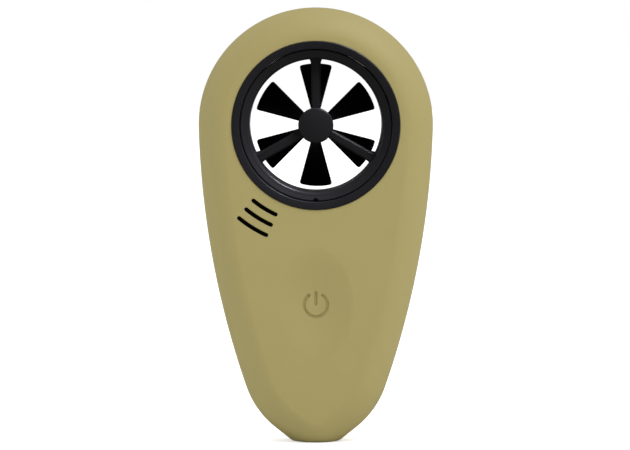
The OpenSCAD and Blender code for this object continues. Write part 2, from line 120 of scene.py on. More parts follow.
def lift(flat: np.ndarray, height: float | np.ndarray) -> np.ndarray:
    """Gives plane points a Z.

    Args:
        flat: array whose last axis is x, y.
        height: one Z, or an array that broadcasts over the points.

    Returns:
        Array whose last axis is x, y, z.
    """
    z = np.broadcast_to(height, flat.shape[:-1])
    return np.concatenate([flat, z[..., None]], axis=-1)


def bearing(degrees: np.ndarray) -> np.ndarray:
    """Unit vectors (cos a, sin a) of angles in degrees."""
    a = np.radians(degrees)
    return np.stack([np.cos(a), np.sin(a)], axis=-1)


def ring_loop(centre: np.ndarray, radius: float, steps: int = 192) -> np.ndarray:
    """Circle as a closed loop: centre + radius (cos a, sin a).

    Args:
        centre: x, y of the centre.
        radius: radius of the circle.
        steps: points round the circle.

    Returns:
        Array of steps by 2.
    """
    return np.asarray(centre) + radius * bearing(np.linspace(0, 360, steps, endpoint=False))


def filleted(corners: list[tuple[float, float, float]], steps: int = 6) -> np.ndarray:
    """Closed profile with rounded corners.

    Each corner's arc touches both of its edges: its centre lies on the corner's bisector at
    radius / sin(half angle), and the arc starts radius / tan(half angle) back along the edge.

    Args:
        corners: (x, y, fillet radius) of each corner, in order.
        steps: points on each arc.

    Returns:
        Array of points by 2.
    """
    data = np.asarray(corners, float)
    tip, radius = data[:, :2], data[:, 2]
    back = np.roll(tip, 1, axis=0) - tip
    ahead = np.roll(tip, -1, axis=0) - tip
    back /= np.linalg.norm(back, axis=1, keepdims=True)
    ahead /= np.linalg.norm(ahead, axis=1, keepdims=True)
    half = 0.5 * np.arccos(np.clip((back * ahead).sum(1), -1, 1))
    bisector = back + ahead
    bisector /= np.maximum(np.linalg.norm(bisector, axis=1, keepdims=True), 1e-9)
    centre = tip + bisector * (radius / np.sin(half))[:, None]
    start = tip + back * (radius / np.tan(half))[:, None] - centre
    cross = back[:, 0] * ahead[:, 1] - back[:, 1] * ahead[:, 0]
    turn = -np.sign(cross)[:, None] * (np.pi - 2 * half)[:, None] * np.linspace(0, 1, steps)
    x = start[:, :1] * np.cos(turn) - start[:, 1:] * np.sin(turn)
    y = start[:, :1] * np.sin(turn) + start[:, 1:] * np.cos(turn)
    return (centre[:, None] + np.stack([x, y], axis=-1)).reshape(-1, 2)


def turned(profile: np.ndarray, centre: tuple[float, float], steps: int = 192) -> np.ndarray:
    """Turns a profile about an axis along Z: (centre + r (cos a, sin a), z) for each (r, z).

    Args:
        profile: radius and height of each point.
        centre: x, y of the axis.
        steps: points round the axis.

    Returns:
        Grid of profile points by steps by 3.
    """
    around = bearing(np.linspace(0, 360, steps, endpoint=False))
    flat = np.asarray(centre) + profile[:, None, :1] * around[None]
    return lift(flat, profile[:, None, 1])


def spun(points: np.ndarray, centre: tuple[float, float], degrees: float) -> np.ndarray:
    """Turns points about an axis along Z.

    Args:
        points: array whose last axis is x, y, z.
        centre: x, y of the axis.
        degrees: turn, anticlockwise seen from the face.

    Returns:
        The turned points.
    """
    c, s = bearing(np.array(degrees))
    x, y = points[..., 0] - centre[0], points[..., 1] - centre[1]
    return np.stack([centre[0] + x * c - y * s, centre[1] + x * s + y * c, points[..., 2]], axis=-1)


def soft_floor(value: np.ndarray, level: float, reach: float) -> np.ndarray:
    """Keeps values at or above a level, rounding the corner with a parabola within reach of it.

    Below level - reach the result is level, above level + reach it is the value, and between them
    it is level + (value - level + reach) squared / (4 reach).

    Args:
        value: values to limit.
        level: the floor.
        reach: half the width of the rounded stretch.

    Returns:
        The limited values.
    """
    rise = value - level
    blend = (rise + reach) ** 2 / (4 * reach)
    return level + np.where(rise > reach, rise, np.where(rise < -reach, 0.0, blend))


def smooth_step(value: np.ndarray, low: float, high: float) -> np.ndarray:
    """0 below low, 1 above high and 3t2 - 2t3 between them."""
    t = np.clip((value - low) / (high - low), 0, 1)
    return t * t * (3 - 2 * t)


def inside(points: np.ndarray, loop: np.ndarray) -> np.ndarray:
    """Tells which points lie inside a closed loop, by counting the edges right of each point.

    Args:
        points: array of points by 2.
        loop: array of corners by 2.

    Returns:
        Array of booleans.
    """
    x, y = points[:, :1], points[:, 1:]
    start, end = loop, np.roll(loop, -1, axis=0)
    spans = (start[None, :, 1] > y) != (end[None, :, 1] > y)
    rise = np.where(end[:, 1] == start[:, 1], 1e-12, end[:, 1] - start[:, 1])
    crossing = start[:, 0] + (y - start[:, 1]) * (end[:, 0] - start[:, 0]) / rise
    return (np.sum(spans & (crossing > x), axis=1) % 2).astype(bool)


# ---- Meshes --------------------------------------------------------------------------------------


class Patchwork:
    """Collects grids and flat faces in the face frame, and welds them into one closed mesh."""

    def __init__(self) -> None:
        """Starts an empty patchwork."""
        self._points: list[np.ndarray] = []
        self._faces: list[list[int]] = []
        self._count = 0

    def _add(self, points: np.ndarray, faces: list[list[int]]) -> None:
        """Adds points, and faces that number them from 0.

        Args:
            points: array whose last axis is x, y, z.
            faces: corners of each face.
        """
        self._points.append(points.reshape(-1, 3))
        self._faces += faces
        self._count += len(self._points[-1])

    def grid(self, points: np.ndarray, around: bool = True, along: bool = False) -> Patchwork:
        """Adds a sheet of quads.

        Args:
            points: grid of rows by columns by 3.
            around: whether each row closes on itself.
            along: whether the last row joins the first.

        Returns:
            This patchwork.
        """
        rows, columns = points.shape[:2]
        index = np.arange(rows * columns).reshape(rows, columns) + self._count
        index = np.concatenate([index, index[:, :1]], axis=1) if around else index
        index = np.concatenate([index, index[:1]], axis=0) if along else index
        quads = np.stack([index[:-1, :-1], index[:-1, 1:], index[1:, 1:], index[1:, :-1]], axis=-1)
        self._add(points, quads.reshape(-1, 4).tolist())
        return self

    def tube(self, points: np.ndarray) -> Patchwork:
        """Adds a sheet of quads whose rows close on themselves, with a flat face on each end.

        Args:
            points: grid of rows by columns by 3.

        Returns:
            This patchwork.
        """
        ends = [self._count + np.arange(points.shape[1]),
                self._count + (points.shape[0] - 1) * points.shape[1] + np.arange(points.shape[1])]
        self.grid(points)
        self._faces += [end.tolist() for end in ends]
        return self

    def sheet(self, outer: np.ndarray, holes: list[np.ndarray], height: float) -> Patchwork:
        """Adds a flat face with holes, as triangles between its loops.

        Args:
            outer: closed outer loop.
            holes: closed loops left open.
            height: Z of the face.

        Returns:
            This patchwork.
        """
        loops = [outer, *holes]
        starts = np.cumsum([0] + [len(loop) for loop in loops])
        edges = [np.stack([np.arange(len(loop)), (np.arange(len(loop)) + 1) % len(loop)], -1) + start
                 for loop, start in zip(loops, starts)]
        found = delaunay_2d_cdt(np.concatenate(loops).tolist(), np.concatenate(edges).tolist(),
                                [], 1, 1e-7)
        flat = np.array([tuple(p) for p in found[0]])
        corners = np.array(found[2])
        centres = flat[corners].mean(axis=1)
        kept = inside(centres, outer) & ~np.any([inside(centres, hole) for hole in holes], axis=0)
        self._add(lift(flat, height), (corners[kept] + self._count).tolist())
        return self

    def build(self, name: str) -> bpy.types.Object:
        """Welds the patches and makes the object.

        Args:
            name: name of the piece.

        Returns:
            The object, at the row frame's origin, with its faces pointing outwards.
        """
        return tidy(make(name, place(np.concatenate(self._points)), self._faces))

    def cutter(self) -> bpy.types.Object:
        """Welds the patches into a cutter, which carve() removes."""
        return self.build("cutter")


def add(name: str, data: bpy.types.ID) -> bpy.types.Object:
    """Puts an object into the scene.

    Args:
        name: its name.
        data: its mesh, light or camera.

    Returns:
        The object.
    """
    thing = bpy.data.objects.new(name, data)
    bpy.context.scene.collection.objects.link(thing)
    return thing


def make(name: str, points: np.ndarray, faces: list[list[int]]) -> bpy.types.Object:
    """Makes a mesh object.

    Args:
        name: name of the object and its mesh.
        points: array of points by 3, in metres.
        faces: corners of each face.

    Returns:
        The object.
    """
    mesh = bpy.data.meshes.new(name)
    mesh.from_pydata(points.tolist(), [], faces)
    return add(name, mesh)


def tidy(thing: bpy.types.Object) -> bpy.types.Object:
    """Merges doubles, points the faces outwards and shades smoothly up to the sharp angle.

    Args:
        thing: piece to mend.

    Returns:
        The piece.
    """
    work = bmesh.new()
    work.from_mesh(thing.data)
    bmesh.ops.remove_doubles(work, verts=work.verts, dist=WELD)
    bmesh.ops.dissolve_degenerate(work, edges=work.edges, dist=WELD / 4)
    bmesh.ops.recalc_face_normals(work, faces=work.faces)
    work.to_mesh(thing.data)
    work.free()
    thing.data.shade_smooth()
    thing.data.set_sharp_from_angle(angle=SHARP_ANGLE)
    return thing


def carve(thing: bpy.types.Object, cutters: list[bpy.types.Object]) -> bpy.types.Object:
    """Cuts closed cutters out of a piece and removes them.

    Args:
        thing: piece to cut.
        cutters: closed objects.

    Returns:
        The piece, with its new mesh.
    """
    for cutter in cutters:
        cut = thing.modifiers.new("cut", "BOOLEAN")
        cut.operation, cut.solver, cut.object = "DIFFERENCE", "EXACT", cutter
    graph = bpy.context.evaluated_depsgraph_get()
    made = bpy.data.meshes.new_from_object(thing.evaluated_get(graph))
    thing.modifiers.clear()
    thing.data = made
    for cutter in cutters:
        bpy.data.objects.remove(cutter)
    return tidy(thing)


def drill(centre: tuple[float, float], radius: float, low: float, high: float,
          sides: int = 64) -> bpy.types.Object:
    """Closed round cutter along Z.

    Args:
        centre: x, y of its axis.
        radius: its radius.
        low: lowest Z.
        high: highest Z.
        sides: points round it.

    Returns:
        The cutter.
    """
    rows = np.stack([lift(ring_loop(np.array(centre), radius, sides), z) for z in (low, high)])
    return Patchwork().tube(rows).cutter()


def slab(outline: np.ndarray, low: float, high: float) -> bpy.types.Object:
    """Closed straight-sided cutter along Z.

    Args:
        outline: array of corners by 2.
        low: lowest Z.
        high: highest Z.

    Returns:
        The cutter.
    """
    return Patchwork().tube(np.stack([lift(outline, low), lift(outline, high)])).cutter()


# ---- Finishes ------------------------------------------------------------------------------------


def feed(tree: bpy.types.NodeTree, socket: bpy.types.NodeSocket, value: object) -> None:
    """Links a socket to another node's output, or sets its value.

    Args:
        tree: node tree of the socket.
        socket: the input.
        value: a value or an output socket.
    """
    if isinstance(value, bpy.types.NodeSocket):
        tree.links.new(value, socket)
    else:
        socket.default_value = value


def node(tree: bpy.types.NodeTree, kind: str, **inputs: object) -> bpy.types.Node:
    """Adds a shader node and sets or links its inputs.

    Args:
        tree: node tree to add to.
        kind: node type without its ShaderNode prefix.
        inputs: input name, with _ for a space, to a value or to an output socket.

    Returns:
        The node.
    """
    made = tree.nodes.new("ShaderNode" + kind)
    for name, value in inputs.items():
        feed(tree, made.inputs[name.replace("_", " ")], value)
    return made


def math_node(tree: bpy.types.NodeTree, operation: str, *values: object) -> bpy.types.NodeSocket:
    """Adds a Math node.

    Args:
        tree: node tree to add to.
        operation: Blender's name for the sum.
        values: numbers or output sockets.

    Returns:
        The node's output.
    """
    made = tree.nodes.new("ShaderNodeMath")
    made.operation = operation
    for socket, value in zip(made.inputs, values):
        feed(tree, socket, value)
    return made.outputs[0]


def remap(tree: bpy.types.NodeTree, value: bpy.types.NodeSocket, span: tuple[float, float],
          result: tuple[float, float], smooth: bool = False) -> bpy.types.NodeSocket:
    """Adds a Map Range node, which is level beyond both ends of its span.

    Args:
        tree: node tree to add to.
        value: what it reads.
        span: values at its two ends.
        result: what it puts out at them.
        smooth: whether it eases in and out.

    Returns:
        The node's output.
    """
    made = node(tree, "MapRange", Value=value, From_Min=span[0], From_Max=span[1],
                To_Min=result[0], To_Max=result[1])
    made.interpolation_type = "SMOOTHSTEP" if smooth else "LINEAR"
    return made.outputs[0]


def relief_group(pattern: Pattern) -> bpy.types.ShaderNodeTree:
    """Node group of one relief, made once. It puts out a height, a tint and a gloss from 0 to 1.

    Args:
        pattern: which relief.

    Returns:
        The group, with Vector, Fine and Cloud inputs: Fine and Cloud are features per metre.
    """
    name = "relief_" + pattern.value
    if name in bpy.data.node_groups:
        return bpy.data.node_groups[name]
    tree = bpy.data.node_groups.new(name, "ShaderNodeTree")
    tree.interface.new_socket("Vector", in_out="INPUT", socket_type="NodeSocketVector")
    for label in ("Fine", "Cloud"):
        tree.interface.new_socket(label, in_out="INPUT", socket_type="NodeSocketFloat")
    for label in ("Height", "Tint", "Gloss"):
        tree.interface.new_socket(label, in_out="OUTPUT", socket_type="NodeSocketFloat")
    given = tree.nodes.new("NodeGroupInput")
    out = tree.nodes.new("NodeGroupOutput")
    vector, fine, cloud = (given.outputs[label] for label in ("Vector", "Fine", "Cloud"))
    grain = node(tree, "TexNoise", Vector=vector, Scale=fine, Detail=2.0, Roughness=0.6)
    clouds = node(tree, "TexNoise", Vector=vector, Scale=cloud, Detail=3.0, Roughness=0.55)
    height = grain.outputs[0]
    if pattern is Pattern.GRAIN:
        pits = node(tree, "TexVoronoi", Vector=vector, Scale=fine)
        height = math_node(tree, "ADD", math_node(tree, "MULTIPLY", pits.outputs[0], 0.6), height)
    if pattern is Pattern.TURNED:
        rings = node(tree, "TexWave", Vector=vector, Scale=fine, Distortion=0.4, Detail=1.0)
        rings.wave_type, rings.rings_direction = "RINGS", "Y"
        height = rings.outputs[1]
    if pattern is Pattern.WEAVE:
        waves = [node(tree, "TexWave", Vector=vector, Scale=fine, Distortion=0.2) for _ in "xz"]
        waves[0].bands_direction, waves[1].bands_direction = "X", "Z"
        height = math_node(tree, "MAXIMUM", waves[0].outputs[1], waves[1].outputs[1])
    if pattern is Pattern.TRACES:
        cells = node(tree, "TexVoronoi", Vector=vector, Scale=fine)
        cells.distance = "CHEBYCHEV"
        height = math_node(tree, "GREATER_THAN", cells.outputs[0], 0.55)
    tint = math_node(tree, "ADD", math_node(tree, "MULTIPLY", clouds.outputs[0], CLOUD_SHARE),
                     math_node(tree, "MULTIPLY", height, 1 - CLOUD_SHARE))
    tree.links.new(height, out.inputs["Height"])
    tree.links.new(tint, out.inputs["Tint"])
    tree.links.new(clouds.outputs[0], out.inputs["Gloss"])
    return tree


@dataclass(frozen=True)
class Finish:
    """One surface finish: colours in linear light, and its relief in millimetres."""

    name: str
    dark: tuple[float, float, float]
    light: tuple[float, float, float]
    roughness: float
    roughness_spread: float = 0.06
    metallic: float = 0.0
    specular: float = 0.5
    coat: float = 0.0
    coat_roughness: float = 0.2
    tint_span: tuple[float, float] = (0.3, 0.7)
    grain_mm: float = 0.4
    cloud_mm: float = 9.0
    bump: float = 0.15
    bump_mm: float = 0.03
    pattern: Pattern = Pattern.GRAIN

    def material(self) -> bpy.types.Material:
        """Makes the material, or finds it if it exists.

        Returns:
            The material.
        """
        if self.name in bpy.data.materials:
            return bpy.data.materials[self.name]
        made = bpy.data.materials.new(self.name)
        made.use_nodes = True
        tree = made.node_tree
        relief = tree.nodes.new("ShaderNodeGroup")
        relief.node_tree = relief_group(self.pattern)
        relief.inputs["Fine"].default_value = 1 / (self.grain_mm * MM)
        relief.inputs["Cloud"].default_value = 1 / (self.cloud_mm * MM)
        tree.links.new(node(tree, "TexCoord").outputs["Object"], relief.inputs["Vector"])
        ramp = node(tree, "ValToRGB", Fac=relief.outputs["Tint"])
        for end, spot, colour in zip(ramp.color_ramp.elements, self.tint_span, (self.dark, self.light)):
            end.position = spot
            end.color = (*colour, 1)
        gloss = remap(tree, relief.outputs["Gloss"], (0.0, 1.0),
                      (self.roughness - self.roughness_spread, self.roughness + self.roughness_spread))
        bump = node(tree, "Bump", Height=relief.outputs["Height"], Strength=self.bump,
                    Distance=self.bump_mm * MM)
        settings = {"Metallic": self.metallic, "Specular IOR Level": self.specular,
                    "Coat Weight": self.coat, "Coat Roughness": self.coat_roughness,
                    "Base Color": ramp.outputs[0], "Roughness": gloss, "Normal": bump.outputs[0]}
        for name, value in settings.items():
            feed(tree, tree.nodes["Principled BSDF"].inputs[name], value)
        return made


KHAKI = Finish("khaki_soft_touch", (0.376, 0.318, 0.120), (0.384, 0.327, 0.126), 0.66, specular=0.25)
KHAKI_PAD = Finish("khaki_elastomer", (0.371, 0.313, 0.118), (0.378, 0.321, 0.123), 0.64, specular=0.25)
BEZEL_BLACK = Finish("satin_black", (0.002, 0.002, 0.003), (0.003, 0.003, 0.005), 0.64,
                     specular=0.5, coat=0.35, grain_mm=0.25, bump=0.08)
DUCT_BLACK = Finish("duct_black", (0.002, 0.002, 0.002), (0.003, 0.003, 0.003), 0.70,
                    specular=0.5, coat=0.35, grain_mm=0.25, bump=0.06)
WHEEL_BLACK = Finish("wheel_black", (0.0006, 0.0006, 0.0006), (0.001, 0.001, 0.001), 0.6,
                     specular=0.02, grain_mm=0.3)
RUBBER = Finish("seal_rubber", (0.012, 0.012, 0.012), (0.02, 0.02, 0.02), 0.7, specular=0.3)
MESH_BLACK = Finish("vent_membrane_weave", (0.004, 0.004, 0.004), (0.012, 0.012, 0.012), 0.9,
                    specular=0.2, grain_mm=0.5, bump=0.5, pattern=Pattern.WEAVE)
STEEL = Finish("plated_steel", (0.5, 0.5, 0.52), (0.62, 0.62, 0.63), 0.3, metallic=1.0,
               grain_mm=0.15, bump=0.1, bump_mm=0.01, pattern=Pattern.TURNED)
BRASS = Finish("turned_brass", (0.56, 0.38, 0.13), (0.72, 0.52, 0.22), 0.28, metallic=1.0,
               grain_mm=0.15, bump=0.12, bump_mm=0.01, pattern=Pattern.TURNED)
JEWEL = Finish("bearing_jewel", (0.30, 0.01, 0.04), (0.42, 0.03, 0.07), 0.08, coat=0.5,
               grain_mm=0.8, bump=0.02)
BOARD = Finish("solder_mask", (0.006, 0.07, 0.03), (0.02, 0.13, 0.06), 0.35, coat=0.3,
               grain_mm=1.6, bump=0.3, bump_mm=0.02, pattern=Pattern.TRACES)
CHIP = Finish("chip_body", (0.012, 0.012, 0.013), (0.03, 0.03, 0.032), 0.55, grain_mm=0.2)


def dress(thing: bpy.types.Object, finish: Finish) -> None:
    """Gives a piece its finish, as its only material."""
    thing.data.materials.clear()
    thing.data.materials.append(finish.material())


def fit(thing: bpy.types.Object, finish: Finish, slot: str, body: str, *nodes: str) -> bpy.types.Object:
    """Dresses a piece, rides it on its body, hides the CAD nodes it stands for and reports it.

    Args:
        thing: the piece.
        finish: its finish.
        slot: not used.
        body: the CAD body that it moves with.
        nodes: the CAD nodes that it stands for.

    Returns:
        The piece.
    """
    dress(thing, finish)
    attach(thing, body)
    if nodes:
        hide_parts(*nodes)
    LOG.info("%s rides on %s for %s: %d faces", thing.name, body, nodes, len(thing.data.polygons))
    return thing


# ---- Sizes taken from the frame ------------------------------------------------------------------


def middle(name: str) -> tuple[float, float, float]:
    """Centre of a CAD node's box.

    Args:
        name: name of the node.

    Returns:
        Its x, y and z in the face frame, in millimetres.
    """
    low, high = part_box(name)
    centre = (low + high) / 2 / MM
    return centre.x, centre.z, -centre.y


def extent(name: str) -> tuple[float, float, float]:
    """Size of a CAD node's box.

    Args:
        name: name of the node.

    Returns:
        Its lengths along the face frame's X, Y and Z, in millimetres.
    """
    low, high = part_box(name)
    size = (high - low) / MM
    return size.x, size.z, size.y


@dataclass
class CaseForm:
    """Outline and rolled edge of the case."""

    half_width: float = 29.0
    wall: float = 1.8
    roll_width: float = 7.0
    roll_power: float = 1.7
    flank_radius: float = 214.0
    corner_radius: float = 22.0
    foot_width: float = 11.7
    foot_lean: float = 51.5
    chamfer_height: float = 3.4
    tip_radius: float = 9.0
    foot_block: float = 11.0
    foot_edge: float = 0.35
    arc_steps: tuple[int, ...] = (96, 72, 40, 28)
    chamfer_steps: int = 6
    axis_height: float = field(default_factory=lambda: middle("impeller_shaft")[1])
    half_depth: float = field(default_factory=lambda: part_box("rear_shell")[1].y / MM)

    def __post_init__(self) -> None:
        """Works out the outline's arcs, each tangent to the next.

        The corner arc touches the foot's chamfer at its top. The flank's centre lies where circles
        of (flank - head) and (flank - corner) radius about the head's and the corner's centres
        cross. The tip's circle touches the chamfer line and is cut off by the foot.
        """
        lean = math.radians(self.foot_lean)
        slope = np.array([math.cos(lean), -math.sin(lean)])
        chamfer_top = np.array([self.foot_width / 2 + self.chamfer_height * math.tan(lean),
                                self.chamfer_height])
        corner = chamfer_top - self.corner_radius * slope
        tip = np.array([0, (self.tip_radius - self.foot_width / 2 * math.cos(lean)) / math.sin(lean)])
        head = np.array([0, self.axis_height])
        between = corner - head
        length = float(np.linalg.norm(between))
        down = between / length
        head_reach = self.flank_radius - self.half_width
        corner_reach = self.flank_radius - self.corner_radius
        along = (head_reach**2 - corner_reach**2 + length**2) / (2 * length)
        aside = math.sqrt(head_reach**2 - along**2)
        flank = head + along * down + aside * np.array([down[1], -down[0]])
        head_end = math.degrees(math.atan2(*(head - flank)[::-1]))
        flank_end = math.degrees(math.atan2(*(corner - flank)[::-1]))
        arcs = [(head, self.half_width, 90, head_end),
                (flank, self.flank_radius, head_end, flank_end),
                (corner, self.corner_radius, flank_end, -self.foot_lean),
                (tip, self.tip_radius, -self.foot_lean, -90)]
        centres, radii, angles = [], [], []
        for (centre, radius, start, end), steps in zip(arcs, self.arc_steps):
            centres.append(np.tile(centre, (steps, 1)))
            radii.append(np.full(steps, float(radius)))
            angles.append(np.linspace(start, end, steps))
        chamfer = np.linspace(0, 1, self.chamfer_steps + 2)[1:-1, None]
        centres.insert(3, corner + (tip - corner) * chamfer)
        radii.insert(3, (self.corner_radius + (self.tip_radius - self.corner_radius) * chamfer)[:, 0])
        angles.insert(3, np.full(len(chamfer), -self.foot_lean))
        right = [np.concatenate(part) for part in (centres, radii, angles)]
        keep = np.r_[True, np.abs(np.diff(right[2])) + np.abs(np.diff(right[1])) > 1e-9]
        centre, radius, angle = (part[keep] for part in right)
        back = slice(-2, 0, -1)
        self.centres = np.concatenate([centre, centre[back] * [-1, 1]])
        self.radii = np.concatenate([radius, radius[back]])
        self.bearings = bearing(np.concatenate([angle, 180 - angle[back]]))

    def loops(self, insets: np.ndarray, floor: float = 0.0) -> np.ndarray:
        """Outlines moved inwards: centre + (radius - inset) (cos a, sin a), cut off at the foot.

        Args:
            insets: distance inwards of each loop.
            floor: lowest Y.

        Returns:
            Array of loops by points by 2.
        """
        insets = np.atleast_1d(np.asarray(insets, float))
        loops = self.centres + (self.radii - insets[:, None])[..., None] * self.bearings
        loops[..., 1] = soft_floor(loops[..., 1], floor, self.foot_edge)
        return loops

    def roll(self, turn: np.ndarray, wall: float = 0.0) -> tuple[np.ndarray, np.ndarray]:
        """Rolled edge: inset w (1 - cos^e t) and height h sin^e t, with e = 2 / power.

        Args:
            turn: t in radians, from 0 at the parting line to a quarter turn at the flat face.
            wall: distance inside the outer skin.

        Returns:
            Insets and heights.
        """
        power = 2 / self.roll_power
        inset = wall + (self.roll_width - wall) * (1 - np.cos(turn) ** power)
        return inset, (self.half_depth - wall) * np.sin(turn) ** power


@dataclass
class Ring:
    """Radii of the round mouth of the case, outside in."""

    bezel: float = field(default_factory=lambda: extent("front_bezel")[0] / 2)
    crest: float = field(default_factory=lambda: -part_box("front_bezel")[0].y / MM)
    hole: float = 19.9
    sleeve_out: float = 19.75
    sleeve: float = 18.75
    collar: float = 18.7
    throat: float = 16.3
    boss: float = 4.0
    bore: float = 1.5


# ---- Case ----------------------------------------------------------------------------------------


@dataclass
class CaseHalf:
    """What the two halves of the case share: rolled outer skin, inner skin and parting face.

    margin and opening_margin are the insets of the flat rows next to the roll and round an
    opening. groove_rows are the heights of the rows in the parting groove, and the roll's own rows
    start at roll_start.
    """

    form: CaseForm
    ring: Ring
    side: Side
    rows: int = 34
    inner_rows: int = 9
    groove: float = 0.22
    groove_height: float = 0.3
    groove_rows: tuple[float, ...] = (0.0, 0.06, 0.13, 0.21, 0.3)
    roll_start: float = 0.45
    row_bias: float = 1.15
    margin: tuple[float, ...] = (0.1, 0.3)
    opening_margin: tuple[float, float] = (0.5, 0.05)
    ring_recess: float = 0.9
    edge: float = 0.1
    edge_rows: int = 5
    insert_radius: float = 4.04
    insert_reach: float = 8.1

    @property
    def mouth_centre(self) -> np.ndarray:
        """x, y of the impeller's axis."""
        return np.array([0, self.form.axis_height])

    @property
    def back(self) -> float:
        """Height of the inner face of the flat wall."""
        return self.form.half_depth - self.form.wall

    def mirrored(self, points: np.ndarray) -> np.ndarray:
        """Mirrors points to this half's side."""
        return points * [1, 1, self.side.value]

    def skins(self, patch: Patchwork) -> tuple[np.ndarray, np.ndarray]:
        """Adds the rolled outer skin, the inner skin and the parting face between them.

        The outer skin draws in by groove (1 - z / groove_height)^2 next to the parting line, so
        the two halves meet in a fine groove. It ends in a flat margin.

        Args:
            patch: patchwork to add to.

        Returns:
            Outer loops of the flat face and of the inner flat face.
        """
        turn = np.linspace(0, 1, self.rows) ** self.row_bias * np.pi / 2
        inset, height = self.form.roll(turn)
        fine = np.array(self.groove_rows)
        height = np.concatenate([fine, height[height > self.roll_start]])
        inset = np.concatenate([0 * fine, inset[-(len(height) - len(fine)):]])
        inset += self.groove * np.clip(1 - height / self.groove_height, 0, 1) ** 2
        inset = np.concatenate([inset, self.form.roll_width + np.array(self.margin)])
        height = np.concatenate([height, np.full(len(self.margin), self.form.half_depth)])
        outer = self.form.loops(inset)
        wall_turn = np.linspace(np.pi / 2, 0, self.inner_rows)
        wall_inset, wall_height = self.form.roll(wall_turn, self.form.wall)
        inner = self.form.loops(wall_inset, self.form.foot_block)
        patch.grid(self.mirrored(lift(outer, height[:, None])))
        patch.grid(self.mirrored(lift(inner, wall_height[:, None])))
        patch.grid(self.mirrored(np.stack([lift(outer[0], 0.0), lift(inner[-1], 0.0)])))
        return outer[-1], inner[0]

    def recess(self, centre: np.ndarray, outer: float, inner: float, depth: float) -> np.ndarray:
        """Stepped round opening in the flat wall: rounded edge, wall, ledge and inner wall.

        Args:
            centre: x, y of its centre.
            outer: radius at the surface.
            inner: radius below the ledge.
            depth: depth of the ledge.

        Returns:
            Grid of rows by points by 3, on this half's side.
        """
        face, ledge = self.form.half_depth, self.form.half_depth - depth
        wide, near = self.opening_margin
        turn = np.linspace(0, np.pi / 2, self.edge_rows)
        radius = np.concatenate([[outer + wide, outer + self.edge + near],
                                 outer + self.edge * (1 - np.sin(turn)), [outer, inner, inner]])
        height = np.concatenate([[face, face], face - self.edge * (1 - np.cos(turn)),
                                 [ledge, ledge, min(self.back, ledge)]])
        return self.mirrored(turned(np.stack([radius, height], axis=-1), tuple(centre)))

    def insert_cutter(self) -> bpy.types.Object:
        """Round cutter up from the foot, where the threaded insert sits.

        Returns:
            The closed cutter.
        """
        ring = ring_loop(np.zeros(2), self.insert_radius, 96)
        rows = [np.stack([ring[:, 0], np.full(len(ring), y), ring[:, 1]], axis=-1)
                for y in (-OVERRUN, self.insert_reach)]
        return Patchwork().tube(np.stack(rows)).cutter()


@dataclass
class FrontHalf(CaseHalf):
    """Front half of the case, with the impeller's mouth, the pad's opening and the vent slots."""

    pad_size: tuple[float, float] = (18.6, 28.2)
    slot_radius: float = 24.37
    slot_pitch: float = 2.79
    slot_width: float = 1.05
    slot_angle: float = 32.0
    slot_span: float = 15.0
    slot_shift: tuple[float, float] = (0.2, 0.35)
    slots: int = 3
    slot_edge: float = 0.09

    def slot_cutter(self, number: int) -> bpy.types.Object:
        """Cutter of one vent slot: two arcs about a point near the axis, joined by half circles.

        It flares at the face, which gives the slot a chamfered edge.

        Args:
            number: which slot, from 0.

        Returns:
            The closed cutter.
        """
        axis = self.mouth_centre + self.slot_shift
        radius = self.slot_radius + number * self.slot_pitch
        face, edge = self.form.half_depth, self.slot_edge
        half = self.slot_width / 2 + np.array([0, 0, edge, edge])[:, None, None]
        height = np.array([face - 2 * self.form.wall, face - edge, face, face + OVERRUN])
        start = -90 - self.slot_angle - self.slot_span / 2
        arc = bearing(np.linspace(start, start + self.slot_span, 26))
        bend = np.linspace(0, 180, 14)[1:-1]
        ends = [(arc[-1], bearing(start + self.slot_span + bend)), (arc[0], bearing(start + 180 + bend))]
        parts = [axis + (radius + half) * arc, axis + radius * ends[0][0] + half * ends[0][1],
                 axis + (radius - half) * arc[::-1], axis + radius * ends[1][0] + half * ends[1][1]]
        return Patchwork().tube(lift(np.concatenate(parts, axis=1), height[:, None])).cutter()

    def pad_loop(self, grow: float, height: float, steps: int = 256) -> np.ndarray:
        """Ellipse of the pad's opening, grown outwards.

        Args:
            grow: distance outwards.
            height: Z of the loop.
            steps: points round it.

        Returns:
            Array of points by 3.
        """
        half = np.array(self.pad_size) / 2 + grow
        centre = np.array([0, middle("thumb_button")[1]])
        return lift(centre + half * bearing(np.linspace(0, 360, steps, endpoint=False)), height)

    def build(self) -> bpy.types.Object:
        """Builds the front half, dresses it and rides it on the casing.

        Returns:
            The half.
        """
        patch = Patchwork()
        outer, inner = self.skins(patch)
        face, wide = self.form.half_depth, max(self.margin)
        mouth = self.recess(self.mouth_centre, self.ring.bezel, self.ring.hole, self.ring_recess)
        patch.grid(mouth)
        opening = [(wide, face), (0, face), (0, self.back)]
        patch.grid(np.stack([self.pad_loop(grow, height) for grow, height in opening]))
        patch.sheet(outer, [mouth[0, :, :2], self.pad_loop(wide, 0)[:, :2]], face)
        patch.sheet(inner, [mouth[-1, :, :2], self.pad_loop(0, 0)[:, :2]], self.back)
        shell = patch.build("shell_front")
        slots = [self.slot_cutter(number) for number in range(self.slots)]
        carve(shell, [self.insert_cutter(), *slots])
        return fit(shell, KHAKI, "shell", "casing", "front_shell")


